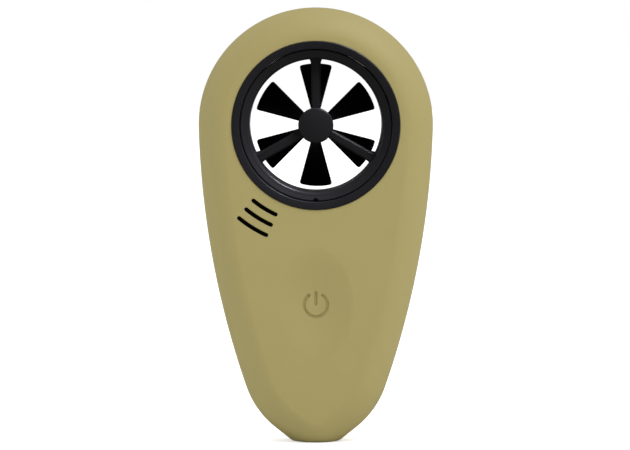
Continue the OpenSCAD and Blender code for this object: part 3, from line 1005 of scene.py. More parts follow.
@dataclass
class RearHalf(CaseHalf):
    """Rear half of the case, with the rear bezel's recess, the battery well and screw holes."""

    door_gap: float = 0.15
    door_radius: float = field(default_factory=lambda: extent("battery_door")[0] / 2)
    door_centre: tuple[float, float] = field(default_factory=lambda: middle("battery_door")[:2])
    door_recess: float = 1.6
    barrel_radius: float = 11.35
    bezel_gap: float = 0.1
    screw_seat: float = 5.2
    screw_hole: float = 2.2
    boss_bore: float = 1.2
    boss_radius: float = 2.9
    boss_top: float = 0.2
    boss_edge: float = 0.1
    boss_bury: float = 0.02
    head_screw: tuple[float, float] = (4.6, 40.0)
    waist_screw: tuple[float, float] = (9.2, 30.4)
    foot_screw: tuple[float, float] = (8.8, 4.6)

    def screw_spots(self) -> np.ndarray:
        """Centres of the six case screws: two round the head, two at the waist, two by the foot.

        The head's are given by their inset and bearing, the waist's by their inset and distance
        below the impeller's axis, and the foot's by their x and distance above the foot block.

        Returns:
            Array of six points by 2.
        """
        axis, half = self.form.axis_height, self.form.half_width
        inset, turn = self.head_screw[0], math.radians(self.head_screw[1])
        right = np.array([[(half - inset) * math.sin(turn), axis + (half - inset) * math.cos(turn)],
                          [half - self.waist_screw[0], axis - self.waist_screw[1]],
                          [self.foot_screw[0], self.form.foot_block + self.foot_screw[1]]])
        return np.concatenate([right, right * [-1, 1]])

    def build(self) -> bpy.types.Object:
        """Builds the rear half and its screw bosses, and rides them on the casing.

        Returns:
            The half.
        """
        patch = Patchwork()
        outer, inner = self.skins(patch)
        face = self.form.half_depth
        openings = [self.recess(self.mouth_centre, self.ring.bezel + self.bezel_gap,
                                self.ring.hole, self.ring_recess),
                    self.recess(np.array(self.door_centre), self.door_radius + self.door_gap,
                                self.barrel_radius, self.door_recess)]
        for rows in openings:
            patch.grid(rows)
        patch.sheet(outer, [rows[0, :, :2] for rows in openings], -face)
        patch.sheet(inner, [rows[-1, :, :2] for rows in openings], -self.back)
        shell = patch.build("shell_rear")
        spots = self.screw_spots()
        cutters = [drill(tuple(p), self.screw_hole, -face - 2 * OVERRUN, -self.screw_seat)
                   for p in spots]
        carve(shell, [self.insert_cutter(), *cutters])
        bosses = Patchwork()
        low, edge = -self.screw_seat + self.boss_bury, self.boss_edge
        high, bore, wide = -self.boss_top, self.boss_bore, self.boss_radius
        profile = filleted([(bore, high, edge), (wide, high, edge), (wide, low, edge),
                            (bore, low, edge)], 3)
        for spot in spots:
            bosses.grid(turned(profile, tuple(spot), 48), along=True)
        fit(bosses.build("shell_rear_bosses"), KHAKI, "shell", "casing")
        return fit(shell, KHAKI, "shell", "casing", "rear_shell")


@dataclass
class CaseScrews:
    """Six socket screws in the back."""

    spots: np.ndarray
    seat: float = 5.2
    head_radius: float = 1.9
    head_height: float = 1.3
    shank_radius: float = 0.98
    reach: float = 4.4
    socket: float = 0.9
    socket_depth: float = 0.75

    def build(self) -> bpy.types.Object:
        """Builds one screw, cuts its socket, repeats it at each spot and rides it on the casing.

        Returns:
            The six screws as one piece.
        """
        top = -self.seat - self.head_height
        profile = np.concatenate([[[0, top]], filleted([
            (self.head_radius, top, 0.35), (self.head_radius, -self.seat, 0.08),
            (self.shank_radius, -self.seat, 0.05), (self.shank_radius, self.reach, 0.2)], 5)[:-1],
            [[0, self.reach]]])
        screw = Patchwork().grid(turned(profile, (0, 0), 48)).build("screw_template")
        carve(screw, [drill((0, 0), self.socket, top - OVERRUN, top + self.socket_depth, 6)])
        points = np.array([v.co for v in screw.data.vertices])
        faces = [np.array(f.vertices) for f in screw.data.polygons]
        bpy.data.objects.remove(screw)
        shifts = place(lift(self.spots, 0.0))
        every = (points[None] + shifts[:, None]).reshape(-1, 3)
        starts = len(points) * np.arange(len(self.spots))
        repeated = [(face + start).tolist() for start in starts for face in faces]
        made = make("case_screw_set", every, repeated)
        return fit(tidy(made), STEEL, "steel", "casing", "case_screws")


@dataclass
class ThumbPad:
    """Dished elastomer pad moulded into the face, which gives under the thumb."""

    front: FrontHalf
    dish: float = 1.5
    skin: float = 0.9
    mark_radius: float = 2.9
    mark_width: float = 0.64
    mark_depth: float = 0.42
    mark_gap: float = 36.0
    mark_wall: float = 0.11
    mark_bar: tuple[float, float] = (0.1, 1.05)
    dish_power: float = 1.5
    rows: int = 120
    row_bias: float = 0.9
    under_rows: int = 10

    def relief(self, x: np.ndarray, y: np.ndarray) -> np.ndarray:
        """Engraved power mark: a ring open at its top, and a bar through the gap.

        The distance to the ring is | distance from the centre - radius |, and the gap widens it
        by the arc beyond the gap's edge. The floor rises smoothly across the stroke's edge. The
        bar's ends are shares of the ring's radius.

        Args:
            x: distance right of the mark's centre.
            y: distance above it.

        Returns:
            Height above the dish, which is negative in the strokes.
        """
        radius = np.hypot(x, y)
        edge = np.radians(self.mark_gap)
        beyond = np.maximum(edge - np.abs(np.arctan2(x, y)), 0) * radius
        ring = np.hypot(radius - self.mark_radius, beyond)
        low, high = (share * self.mark_radius for share in self.mark_bar)
        stroke = np.minimum(ring, np.hypot(x, y - np.clip(y, low, high)))
        half = self.mark_width / 2
        return -self.mark_depth * (1 - smooth_step(stroke, half - self.mark_wall, half + self.mark_wall))

    def bowl(self, share: np.ndarray) -> np.ndarray:
        """Height of the dish, face - dish (1 - s^2)^power, at a share s of the way to the rim."""
        return self.front.form.half_depth - self.dish * (1 - share**2) ** self.dish_power

    def build(self) -> bpy.types.Object:
        """Builds the pad, dresses it and hides the button's CAD node.

        Returns:
            The pad.
        """
        face = self.front.form.half_depth
        centre = middle("thumb_button")[1]
        share = np.linspace(1, 0, self.rows) ** self.row_bias
        rim = self.front.pad_loop(0, 0)[:, :2] - [0, centre]
        flat = share[:, None, None] * rim
        top = self.bowl(share[:, None]) + self.relief(flat[..., 0], flat[..., 1])
        upper = lift(flat + [0, centre], top)
        below = share[:: self.rows // self.under_rows]
        under = lift(below[:, None, None] * rim + [0, centre], self.bowl(below[:, None]) - self.skin)
        pole = np.broadcast_to(np.array([0, centre, face - self.skin - self.dish]), under[-1].shape)
        patch = Patchwork().grid(upper).grid(np.stack([upper[0], under[0]]))
        pad = patch.grid(under[:-1]).grid(np.stack([under[-2], pole])).build("thumb_pad")
        dress(pad, KHAKI_PAD)
        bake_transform(pad)
        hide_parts("thumb_button")
        LOG.info("thumb_pad blends between casing and button")
        return pad


# ---- Duct, bezels and impeller -------------------------------------------------------------------


@dataclass
class Mouth:
    """Bezels, duct, spokes and hub cap round the impeller.

    Each corner of a profile is a radius, a Z and a fillet's radius. A bury is how far one piece
    runs into the next, and a foot, end or seat is the Z at which something stops.
    """

    ring: Ring
    axis: tuple[float, float]
    half_depth: float
    spokes: int = 3
    spoke_root: float = 2.0
    spoke_tip: float = 2.5
    spoke_depth: float = 1.6
    spoke_bevel: float = 0.38
    spoke_bury: tuple[float, float] = (0.6, 0.3)
    flare_width: float = 0.5
    flare_reach: float = 1.6
    front_spoke: float = 4.4
    rear_spoke: float = -6.1
    flange_foot: float = 0.88
    flange_gap: float = 0.05
    crown_out: tuple[float, float] = (0.17, 0.12)
    crown_in: tuple[float, float] = (0.15, 0.24)
    crown_foot: float = 0.42
    sleeve_rim: float = 0.5
    sleeve_end: float = -5.5
    rear_seat: float = 0.95
    rear_flange: float = 0.9
    rear_lap: float = 0.53
    rear_skirt: float = 0.1
    rear_end: float = 0.05
    spanner_circle: float = 19.85
    spanner_radius: float = 0.4
    spanner_depth: float = 0.5
    lip_drop: float = 0.48
    lip_levels: tuple[float, float, float] = (0.76, 0.42, 0.28)
    lip_shoulder: float = 17.45
    waist: float = 17.7
    waist_top: tuple[float, float] = (3.2, 3.8)
    waist_foot: tuple[float, float] = (-5.8, -6.4)
    duct_end: float = -4.5
    rear_bore: float = 17.0
    tail_gap: float = 0.4
    notch_half: float = 1.1
    notch_height: float = 1.0
    notch_depth: float = 1.6
    cap_seat: float = 6.5
    cap_radius: float = 4.35
    cap_top: float = 7.75
    cap_crown: float = 0.42
    cap_edge: float = 0.3
    cap_wall: float = 0.66
    stem_end: float = 5.4
    stem_bury: float = 0.1
    pin_gap: tuple[float, float] = (0.03, 0.02)
    pin_core: float = 0.01
    boss_depth: float = 0.5
    spider_top: float = -4.55
    spider_end: float = -7.9
    spider_wall: float = 0.65
    rear_boss: tuple[float, float] = (-7.0, -4.0)
    screw_ends: tuple[float, float] = (-6.9, -5.4)
    screw_slot: tuple[float, float] = (2.0, 0.2)
    screw_slot_floor: float = -6.45

    def piece(self, name: str, corners: list[tuple[float, float, float]],
              steps: int = 6) -> bpy.types.Object:
        """Turns a closed, filleted profile about the impeller's axis."""
        return Patchwork().grid(turned(filleted(corners, steps), self.axis), along=True).build(name)

    def spoke(self, low: float, reach: float) -> np.ndarray:
        """One spoke up from the boss, a rounded bar that widens towards the duct.

        The half width grows evenly with the radius, and faster over the last stretch, where it
        flares as the square of the distance into it.

        Args:
            low: lowest Z of the spoke.
            reach: radius of its outer end.

        Returns:
            Grid of rows along the spoke by points round it by 3.
        """
        high, bevel = low + self.spoke_depth, self.spoke_bevel
        section = filleted([(1, low, 0.2), (1, high - bevel, 0.1), (1 - bevel, high, 0.12),
                            (bevel - 1, high, 0.12), (-1, high - bevel, 0.1), (-1, low, 0.2)], 4)
        radius = np.linspace(self.ring.boss - self.spoke_bury[0], reach, 40)
        share = radius / reach
        late = np.clip((radius - reach + self.flare_reach) / self.flare_reach, 0, 1)
        flare = self.flare_width * late**2
        half = (self.spoke_root + (self.spoke_tip - self.spoke_root) * share) / 2 + flare
        x = section[:, 0] + np.sign(section[:, 0]) * (half[:, None] - 1)
        y = np.broadcast_to(self.axis[1] + radius[:, None], x.shape)
        z = np.broadcast_to(section[:, 1], x.shape)
        return np.stack([x + self.axis[0], y, z], axis=-1)

    def spoke_set(self, name: str, low: float) -> bpy.types.Object:
        """All the spokes of one spider, sunk into its boss and rim.

        Args:
            name: name of the piece.
            low: lowest Z of the spokes.

        Returns:
            The spokes as one piece.
        """
        patch = Patchwork()
        one = self.spoke(low, self.ring.throat + self.spoke_bury[1])
        for number in range(self.spokes):
            patch.tube(spun(one, self.axis, 360 / self.spokes * number))
        return patch.build(name)

    def front_bezel(self) -> None:
        """Builds the front bezel, a flange proud of the face on a long sleeve."""
        r, foot, seat = self.ring, self.half_depth - self.flange_foot, self.rear_seat - self.half_depth
        rim, thin, end = r.bezel - self.flange_gap, r.sleeve + self.sleeve_rim, self.sleeve_end
        made = self.piece("bezel_front", [
            (r.sleeve, seat, 0.1), (thin, seat, 0.1), (thin, end, 0.05), (r.sleeve_out, end, 0.05),
            (r.sleeve_out, foot, 0.05), (rim, foot, 0.06), (rim, r.crest - self.crown_out[1], 0.06),
            (r.bezel - self.crown_out[0], r.crest, 0.1),
            (r.sleeve + self.crown_in[0], r.crest - self.crown_in[1], 0.1),
            (r.sleeve, r.crest - self.crown_foot, 0.06)])
        fit(made, BEZEL_BLACK, "bezel", "casing", "front_bezel")

    def rear_bezel(self) -> None:
        """Builds the rear bezel, a flange and a lap round the sleeve's end, with spanner holes."""
        r, face = self.ring, -self.half_depth
        seat, flange = face + self.rear_seat, face + self.rear_flange
        lap, skirt = r.sleeve + self.rear_lap, r.sleeve_out + self.rear_skirt
        end = self.sleeve_end - self.rear_end
        made = self.piece("bezel_rear", [
            (lap, seat, 0.05), (r.sleeve, seat, 0.05), (r.sleeve, face, 0.2), (r.bezel, face, 0.2),
            (r.bezel, flange, 0.05), (skirt, flange, 0.05), (skirt, end, 0.05), (lap, end, 0.05)])
        holes = self.axis + self.spanner_circle * bearing(45 + 90 * np.arange(4))
        floor = face + self.spanner_depth
        carve(made, [drill(tuple(p), self.spanner_radius, face - OVERRUN, floor, 32) for p in holes])
        fit(made, BEZEL_BLACK, "bezel", "casing", "rear_bezel")

    def duct(self) -> None:
        """Builds the duct with its rounded mouth and index notch, and the front spokes and boss.

        The corners run up the bore, over the lip, down past the seal's waist to the tail, and back
        up the wider bore that holds the rear spider.
        """
        r, face, lip = self.ring, self.half_depth, self.ring.crest - self.lip_drop
        tail, inner, waist = self.tail_gap - face, self.rear_bore, self.waist
        deep, middling, edge = self.lip_levels
        body = self.piece("duct_body", [
            (r.throat, self.duct_end, 0.05), (r.throat, lip - deep, 1.0),
            (self.lip_shoulder, lip - middling, 0.8), (r.collar - edge, lip, 0.25),
            (r.collar, lip - edge, 0.12), (r.collar, face - self.waist_top[0], 0.1),
            (waist, face - self.waist_top[1], 0.3), (waist, self.waist_foot[0], 0.3),
            (r.collar, self.waist_foot[1], 0.1), (r.collar, tail, 0.25), (inner, tail, 0.3),
            (inner, self.duct_end, 0.05)], 8)
        foot, wide, high = self.axis[1] - r.collar, self.notch_half, self.notch_height
        notch = [[-wide, -0.1], [wide, -0.1], [0.5, 0.75 * high], [0, high], [-0.5, 0.75 * high]]
        carve(body, [slab(np.array(notch) + [0, foot], lip - self.notch_depth, lip + OVERRUN)])
        spokes = self.spoke_set("duct_spokes", self.front_spoke)
        low = self.front_spoke - self.boss_depth
        boss = self.piece("duct_boss", [(r.bore, low, 0.1), (r.boss, low, 0.4),
                                        (r.boss, self.cap_seat, 0.05), (r.bore, self.cap_seat, 0.05)])
        fit(body, DUCT_BLACK, "duct", "casing", "impeller_duct")
        for thing in (spokes, boss):
            fit(thing, DUCT_BLACK, "duct", "casing")

    def cap(self) -> None:
        """Builds the hub cap, whose dome is top - crown (r / radius)^2, and the stem below it."""
        wide, seat, steps = self.cap_radius, self.cap_seat, 6
        dome = np.linspace(1, 0, 16)[:, None] * [wide - self.cap_edge, 0]
        dome[:, 1] = self.cap_top - self.cap_crown * (dome[:, 0] / wide) ** 2
        rim = filleted([(0, seat, 0), (wide, seat, 0.15), (wide, self.cap_top - self.cap_wall, 0.1),
                        (*dome[0], 0.08)], steps)
        profile = np.concatenate([[[0, seat]], rim[steps:], dome[1:]])
        made = Patchwork().grid(turned(profile, self.axis, 128)).build("hub_cap_dome")
        stem = self.pin("hub_cap_stem", self.ring.bore - self.pin_gap[0],
                        (self.stem_end, seat + self.stem_bury), (0.1, 0))
        fit(made, DUCT_BLACK, "duct", "casing", "hub_cap")
        fit(stem, DUCT_BLACK, "duct", "casing")

    def pin(self, name: str, radius: float, ends: tuple[float, float],
            fillets: tuple[float, float]) -> bpy.types.Object:
        """Builds a plain round pin on the impeller's axis.

        Args:
            name: name of the piece.
            radius: its radius.
            ends: lowest and highest Z.
            fillets: radius of the edge at each end.

        Returns:
            The pin.
        """
        (low, high), core = ends, self.pin_core
        return self.piece(name, [(core, low, 0), (radius, low, fillets[0]), (radius, high, fillets[1]),
                                 (core, high, 0)])

    def rear(self) -> None:
        """Builds the rear spider, its boss and the slotted bearing screw."""
        r, top, end = self.ring, self.spider_top, self.spider_end
        wall, (low, high) = r.throat + self.spider_wall, self.rear_boss
        rim = self.piece("spider_rim", [(r.throat, top, 0.1), (wall, top, 0.05), (wall, end, 0.1),
                                        (r.throat, end, 0.3)])
        spokes = self.spoke_set("spider_spokes", self.rear_spoke)
        boss = self.piece("spider_boss", [(r.bore, low, 0.12), (r.boss, low, 0.5), (r.boss, high, 0.4),
                                          (r.bore, high, 0.05)])
        fit(rim, DUCT_BLACK, "duct", "casing", "rear_spider")
        for thing in (spokes, boss):
            fit(thing, DUCT_BLACK, "duct", "casing")
        screw = self.pin("bearing_screw_slotted", r.bore - self.pin_gap[1], self.screw_ends, (0.15, 0.1))
        slot = self.axis + np.array([[-1, -1], [1, -1], [1, 1], [-1, 1]]) * self.screw_slot
        carve(screw, [slab(slot, self.screw_ends[0] - OVERRUN, self.screw_slot_floor)])
        fit(screw, BRASS, "brass", "casing", "bearing_screw")

    def build(self) -> None:
        """Builds everything round the impeller."""
        self.front_bezel()
        self.rear_bezel()
        self.duct()
        self.cap()
        self.rear()


@dataclass
class Impeller:
    """Hub and blades of the wheel."""

    axis: tuple[float, float]
    tip_radius: float = 15.2
    blades: int = 6
    sweep: float = 31.0
    depth: float = 5.4
    thickness: float = 0.55
    corner: float = 0.6
    tip_round: float = 0.985
    edge_powers: tuple[float, float] = (0.55, 0.6)
    row_bias: float = 0.85
    root_bury: float = 0.4
    hub_radius: float = 3.2
    hub_half: float = 3.5
    hub_bore: float = 0.52

    def blade(self) -> np.ndarray:
        """One blade: a helicoid whose height grows evenly with the angle, given a rounded section.

        At each radius a closed loop runs round the section. Its place along the chord is
        cos(t), its offset along the helicoid's normal is sin(t), both to a power below one, so the
        section is nearly even in thickness with round edges. The tip's corners are rounded by
        drawing the radius in by c - sqrt(c^2 - x^2) over the last c of the chord, and past
        tip_round the blade thins as a quarter circle.

        Returns:
            Grid of rows from root to tip by points round the section by 3.
        """
        t = np.linspace(0, 2 * np.pi, 48, endpoint=False)
        chord = np.sign(np.cos(t)) * np.abs(np.cos(t)) ** self.edge_powers[0]
        offset = np.sign(np.sin(t)) * np.abs(np.sin(t)) ** self.edge_powers[1] * self.thickness / 2
        share = np.linspace(0, 1, 30) ** self.row_bias
        late = np.clip((share - self.tip_round) / (1 - self.tip_round), 0, 1)
        thin = np.sqrt(np.clip(1 - late**2, 0.05, 1))[:, None]
        half = math.radians(self.sweep / 2)
        edge = self.tip_radius * half * (1 - np.abs(chord))
        short = np.clip(self.corner - edge, 0, None)
        drawn = self.corner - np.sqrt(np.clip(self.corner**2 - short**2, 0, None))
        root = self.hub_radius - self.root_bury
        radius = root + (self.tip_radius - drawn - root) * share[:, None]
        angle = half * chord
        rise = self.depth / (2 * half)
        pitch = np.arctan2(rise, radius)
        turn = np.pi / 2 + angle - offset * thin * np.sin(pitch) / radius
        z = rise * angle + offset * thin * np.cos(pitch)
        x, y = radius * np.cos(turn), radius * np.sin(turn)
        return np.stack([self.axis[0] + x, self.axis[1] + y, z], axis=-1)

    def build(self) -> None:
        """Builds the hub and the blades and rides them on the impeller."""
        half = self.hub_half
        profile = filleted([(self.hub_bore, -half, 0.1), (self.hub_radius, -half, 0.35),
                            (self.hub_radius, half, 0.7), (self.hub_bore, half, 0.1)])
        hub = Patchwork().grid(turned(profile, self.axis, 96), along=True).build("wheel_hub")
        patch, blade = Patchwork(), self.blade()
        for number in range(self.blades):
            patch.tube(spun(blade, self.axis, 360 / self.blades * number))
        fit(patch.build("wheel_blades"), WHEEL_BLACK, "wheel", "impeller", "impeller_wheel")
        fit(hub, WHEEL_BLACK, "wheel", "impeller")


# ---- Battery door and tripod insert --------------------------------------------------------------


@dataclass
class BatteryDoor:
    """Round door with a coin slot, grip flutes and three locking lugs."""

    half_depth: float
    radius: float = field(default_factory=lambda: extent("battery_door")[0] / 2)
    centre: tuple[float, float] = field(default_factory=lambda: middle("battery_door")[:2])
    edge: float = 0.25
    plate: float = 1.5
    plate_inside: float = 0.6
    barrel: float = 11.2
    barrel_wall: float = 1.4
    barrel_end: float = -5.1
    barrel_edge: float = 0.2
    flutes: int = 36
    flute_depth: float = 0.28
    face_rings: tuple[int, int] = (22, 12)
    face_break: tuple[float, float] = (9.6, 9.2)
    flute_in: tuple[float, float] = (10.0, 10.7)
    flute_out: tuple[float, float] = (12.2, 12.9)
    points: int = 288
    lugs: int = 3
    lug_radii: tuple[float, float] = (10.9, 12.5)
    lug_height: float = 1.0
    lug_half_angle: float = 15.0
    slot_length: float = 14.0
    slot_width: float = 2.0
    slot_depth: float = 1.1

    def face(self) -> np.ndarray:
        """Outer face, dimpled by flutes: depth (0.5 + 0.5 cos(flutes a))^2 inside a band of radii.

        Returns:
            Grid of rings, from the rim to the centre, by points by 3.
        """
        turn = np.linspace(np.pi / 2, 0, 5)
        (many, few), (start, end) = self.face_rings, self.face_break
        flat_radii = np.r_[np.linspace(self.radius - 0.4, start, many), np.linspace(end, 0.0, few)]
        radius = np.r_[self.radius - self.edge * (1 - np.sin(turn)), flat_radii]
        sink = np.r_[self.edge * (1 - np.cos(turn)), 0 * flat_radii]
        angle = np.linspace(0, 2 * np.pi, self.points, endpoint=False)
        band = smooth_step(radius, *self.flute_in) * (1 - smooth_step(radius, *self.flute_out))
        flute = (0.5 + 0.5 * np.cos(self.flutes * angle)) ** 2
        height = -self.half_depth + sink[:, None] + self.flute_depth * band[:, None] * flute
        flat = np.array(self.centre) + radius[:, None, None] * np.stack([np.cos(angle), np.sin(angle)], -1)
        return lift(flat, height)

    def lug(self, number: int) -> np.ndarray:
        """One locking lug: a square bar bent round the barrel.

        Args:
            number: which lug, from 0.

        Returns:
            Grid of rows along the lug by corners by 3.
        """
        (inner, outer), top, low = self.lug_radii, self.barrel_end, self.barrel_end - self.lug_height
        section = np.array([[inner, top], [outer, top], [outer, low], [inner, low]])
        half = self.lug_half_angle
        around = bearing(360 / self.lugs * number + np.linspace(-half, half, 16))
        flat = np.array(self.centre) + section[None, :, :1] * around[:, None]
        return lift(flat, section[None, :, 1])

    def build(self) -> bpy.types.Object:
        """Builds the door, cuts its coin slot and rides it on the battery door's body.

        Returns:
            The door.
        """
        face, outside = self.face(), -self.half_depth
        under, end, edge = outside + self.plate, self.barrel_end, self.barrel_edge
        floor, inner = under + self.plate_inside, self.barrel - self.barrel_wall
        profile = np.array([[self.radius, under], [self.barrel, under], [self.barrel, end + edge],
                            [self.barrel - edge, end], [inner, end], [inner, floor], [0, floor]])
        back = turned(profile, self.centre, self.points)
        patch = Patchwork().grid(face).grid(np.concatenate([face[:1], back]))
        for number in range(self.lugs):
            patch.tube(self.lug(number))
        door = patch.build("battery_lid")
        half = np.array([self.slot_length / 2 - self.slot_width / 2, 0])
        right = self.slot_width / 2 * bearing(np.linspace(-90, 90, 13))
        slot = np.concatenate([right + half, -right - half]) + self.centre
        carve(door, [slab(slot, outside - OVERRUN, outside + self.slot_depth)])
        return fit(door, KHAKI, "shell", "battery_door", "battery_door")


@dataclass
class TripodInsert:
    """Brass insert in the foot with an internal thread along Y."""

    radius: float = 4.0
    collar: float = 4.68
    collar_height: float = 2.0
    edge: float = 0.12
    mouth: float = 3.5
    mouth_bore: float = 3.3
    length: float = field(default_factory=lambda: extent("tripod_insert")[1])
    crest: float = 2.55
    root: float = 3.15
    pitch: float = 1.27
    depth: float = 7.0
    sunk: float = 0.06

    def build(self) -> bpy.types.Object:
        """Builds the insert and rides it on the casing.

        The bore's radius is crest + (root - crest) | 2 frac(turns) - 1 |, where turns counts y /
        pitch less the angle's share of a circle, and a cone at the mouth cuts the first crests.

        Returns:
            The insert.
        """
        steps = 96
        angle = np.linspace(0, 2 * np.pi, steps, endpoint=False)
        deep = np.linspace(self.sunk, self.depth, 150)[:, None]
        turns = deep / self.pitch - angle / (2 * np.pi)
        bore = self.crest + (self.root - self.crest) * np.abs(2 * (turns % 1) - 1)
        bore = np.maximum(bore, self.mouth_bore - (deep - self.sunk))
        foot = self.length - self.collar_height
        outside = np.array([[0, self.length], [self.collar, self.length], [self.collar, foot],
                            [self.radius, foot - 0.1], [self.radius, self.sunk + 0.15],
                            [self.radius - self.edge, self.sunk], [self.mouth, self.sunk]])
        radius = np.concatenate([np.repeat(outside[:, :1], steps, 1), bore, np.zeros((1, steps))])
        y = np.concatenate([np.repeat(outside[:, 1:], steps, 1), np.repeat(deep, steps, 1),
                            np.full((1, steps), self.depth)])
        grid = np.stack([radius * np.cos(angle), y, radius * np.sin(angle)], axis=-1)
        insert = Patchwork().grid(grid).build("tripod_insert_threaded")
        return fit(insert, BRASS, "brass", "casing", "tripod_insert")


# ---- Pieces that keep their CAD meshes -----------------------------------------------------------

INSIDE = {
    "case_seal": RUBBER, "duct_seal": RUBBER, "door_seal": RUBBER, "sensor_gasket": RUBBER,
    "front_jewel": JEWEL, "rear_jewel": JEWEL, "impeller_shaft": STEEL, "impeller_magnet": STEEL,
    "button_plunger": BEZEL_BLACK, "switch_stem": BEZEL_BLACK, "switch_base": STEEL,
    "main_board": BOARD, "board_screws": STEEL, "board_passives": CHIP, "radio_module": STEEL,
    "wind_sensor": CHIP, "climate_sensor": CHIP, "pressure_sensor": STEEL,
    "vent_membrane": MESH_BLACK, "battery_cell": STEEL, "battery_holder": BEZEL_BLACK,
    "battery_contact_neg": BRASS, "battery_contact_pos": BRASS, "battery_pad": RUBBER,
}


def dress_inside(nodes: dict[str, bpy.types.Object]) -> None:
    """Gives the CAD pieces that stay their finishes.

    Args:
        nodes: the frame's objects by node name.
    """
    for name, finish in INSIDE.items():
        dress(nodes[name], finish)
        LOG.info("%s keeps its CAD mesh in %s", name, finish.name)


# ---- Studio --------------------------------------------------------------------------------------


WHITE = (1.0, 1.0, 1.0)
COOL = (0.86, 0.84, 1.0)


def point(thing: bpy.types.Object, spot: Vector, aim: Vector) -> None:
    """Places a light or camera and turns it to face a point.

    Args:
        thing: the light or camera.
        spot: its place.
        aim: the point.
    """
    thing.location = spot
    thing.rotation_mode = "QUATERNION"
    thing.rotation_quaternion = (aim - spot).to_track_quat("-Z", "Y")


class Shows(Enum):
    """What a lamp lights: matt colour alone, or gloss alone."""

    COLOUR = "colour"
    GLOSS = "gloss"


@dataclass(frozen=True)
class Lamp:
    """Square area light: its place and side in metres, its power in watts and its colour."""

    name: str
    spot: tuple[float, float, float]
    side: float
    power: float
    shows: Shows = Shows.COLOUR
    colour: tuple[float, float, float] = WHITE

    def build(self, aim: Vector) -> None:
        """Adds the light.

        Args:
            aim: the point that it faces.
        """
        data = bpy.data.lights.new(self.name, "AREA")
        data.shape, data.size, data.energy = "SQUARE", self.side, self.power
        data.color = self.colour
        made = add(self.name, data)
        made.visible_diffuse = self.shows is Shows.COLOUR
        made.visible_glossy = self.shows is Shows.GLOSS
        point(made, Vector(self.spot), aim)


LAMPS = (
    Lamp("key", (0.40, -0.48, 0.98), 0.3, 3.2),
    Lamp("fill", (0.85, -0.53, 0.06), 0.4, 1.0),
    Lamp("sheen", (0.48, -0.28, 0.91), 0.4, 14.0, Shows.GLOSS, COOL),
    Lamp("glint", (-0.90, -0.30, 0.28), 0.35, 1.0, Shows.GLOSS, COOL),
)


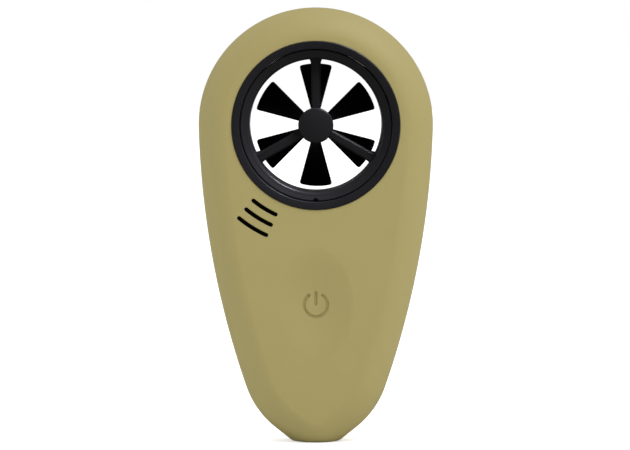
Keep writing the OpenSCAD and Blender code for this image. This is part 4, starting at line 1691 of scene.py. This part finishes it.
@dataclass
class Studio:
    """Camera, floor, lights and surroundings. Lengths are in metres.

    A span is a range of Y, of the floor's place or of the direction a ray goes, where -1 is
    straight ahead of the face. Each span has the levels at its two ends.
    """

    aim: tuple[float, float, float] = (-0.0002, 0.0, 0.05355)
    view_width: float = 0.15615
    distance: float = 1.0
    elevation: float = 2.8
    sensor: float = 36.0
    floor_half: float = 4.0
    floor_roughness: float = 0.9
    floor_pale: float = 0.88
    floor_dark: float = 0.12
    floor_glow: float = 0.5
    floor_span: tuple[float, float] = (0.0, 0.2)
    patch_span: tuple[float, float] = (-0.95, -0.5)
    patch_levels: tuple[float, float] = (0.5, 1.0)
    dim_span: tuple[float, float] = (-0.1, 0.4)
    dim_levels: tuple[float, float] = (0.03, 0.6)
    behind_span: tuple[float, float] = (0.8, 0.96)
    behind_levels: tuple[float, float] = (1.0, 0.08)

    def camera(self) -> None:
        """Places a long lens in front of the meter, looking slightly down at it."""
        data = bpy.data.cameras.new("camera")
        data.sensor_width = self.sensor
        data.lens = self.sensor * self.distance / self.view_width
        data.clip_start, data.clip_end = 0.01, 20
        rise = math.radians(self.elevation)
        back = Vector((0, -math.cos(rise), math.sin(rise)))
        made = add("camera", data)
        point(made, Vector(self.aim) + back * self.distance, Vector(self.aim))
        bpy.context.scene.camera = made

    def floor(self) -> None:
        """Lays a plain pale floor, which glows a little to the camera and is darker in reflections."""
        side = np.array([[-1.0, -1.0], [1.0, -1.0], [1.0, 1.0], [-1.0, 1.0]]) * self.floor_half
        made = make("floor", lift(side, 0.0), [[0, 1, 2, 3]])
        pale = bpy.data.materials.new("pale_floor")
        pale.use_nodes = True
        tree = pale.node_tree
        path = node(tree, "LightPath")
        spot = node(tree, "SeparateXYZ", Vector=node(tree, "NewGeometry").outputs["Position"])
        ahead = remap(tree, spot.outputs["Y"], self.floor_span, (1.0, 0.0))
        share = math_node(tree, "MULTIPLY", path.outputs["Is Glossy Ray"], ahead)
        tone = node(tree, "MixRGB", Fac=share, Color1=(*[self.floor_pale] * 3, 1),
                    Color2=(*[self.floor_dark] * 3, 1))
        glow = math_node(tree, "MULTIPLY", path.outputs["Is Camera Ray"], self.floor_glow)
        settings = {"Roughness": self.floor_roughness, "Emission Color": (*WHITE, 1),
                    "Base Color": tone.outputs[0], "Emission Strength": glow}
        for name, value in settings.items():
            feed(tree, tree.nodes["Principled BSDF"].inputs[name], value)
        made.data.materials.append(pale)

    def surroundings(self) -> None:
        """White to the camera; even light but for a darker patch ahead, and dim ahead in reflections."""
        world = bpy.data.worlds.new("surroundings")
        world.use_nodes = True
        world.cycles.sampling_method = "NONE"
        tree = world.node_tree
        tree.nodes.clear()
        heading = node(tree, "SeparateXYZ", Vector=node(tree, "TexCoord").outputs["Generated"])
        toward = heading.outputs["Y"]
        path = node(tree, "LightPath")
        patch = remap(tree, toward, self.patch_span, self.patch_levels, smooth=True)
        dim = remap(tree, toward, self.dim_span, self.dim_levels)
        behind = remap(tree, toward, self.behind_span, self.behind_levels)
        change = math_node(tree, "SUBTRACT", math_node(tree, "MULTIPLY", dim, behind), patch)
        lit = math_node(tree, "MULTIPLY_ADD", change, path.outputs["Is Glossy Ray"], patch)
        level = math_node(tree, "MAXIMUM", path.outputs["Is Camera Ray"], lit)
        even = node(tree, "Background", Color=(*WHITE, 1), Strength=level)
        node(tree, "OutputWorld", Surface=even.outputs[0])
        bpy.context.scene.world = world
        bpy.context.scene.view_settings.view_transform = "Standard"
        bpy.context.scene.view_settings.look = "None"

    def build(self) -> None:
        """Sets up the studio."""
        self.camera()
        self.floor()
        for lamp in LAMPS:
            lamp.build(Vector(self.aim))
        self.surroundings()


# ---- Everything ----------------------------------------------------------------------------------


def main() -> None:
    logging.basicConfig(level=logging.INFO, format="%(name)s: %(message)s")
    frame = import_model()
    for thing in list(bpy.data.objects):
        if thing.type in {"CAMERA", "LIGHT"} or thing.name == "Cube":
            bpy.data.objects.remove(thing)
    form, ring = CaseForm(), Ring()
    axis = (0.0, form.axis_height)
    front = FrontHalf(form, ring, Side.FRONT)
    rear = RearHalf(form, ring, Side.REAR)
    front.build()
    rear.build()
    ThumbPad(front).build()
    CaseScrews(rear.screw_spots()).build()
    Mouth(ring, axis, form.half_depth).build()
    Impeller(axis).build()
    BatteryDoor(form.half_depth).build()
    TripodInsert().build()
    dress_inside(frame["nodes"])
    Studio().build()


if __name__ == "__main__":
    main()
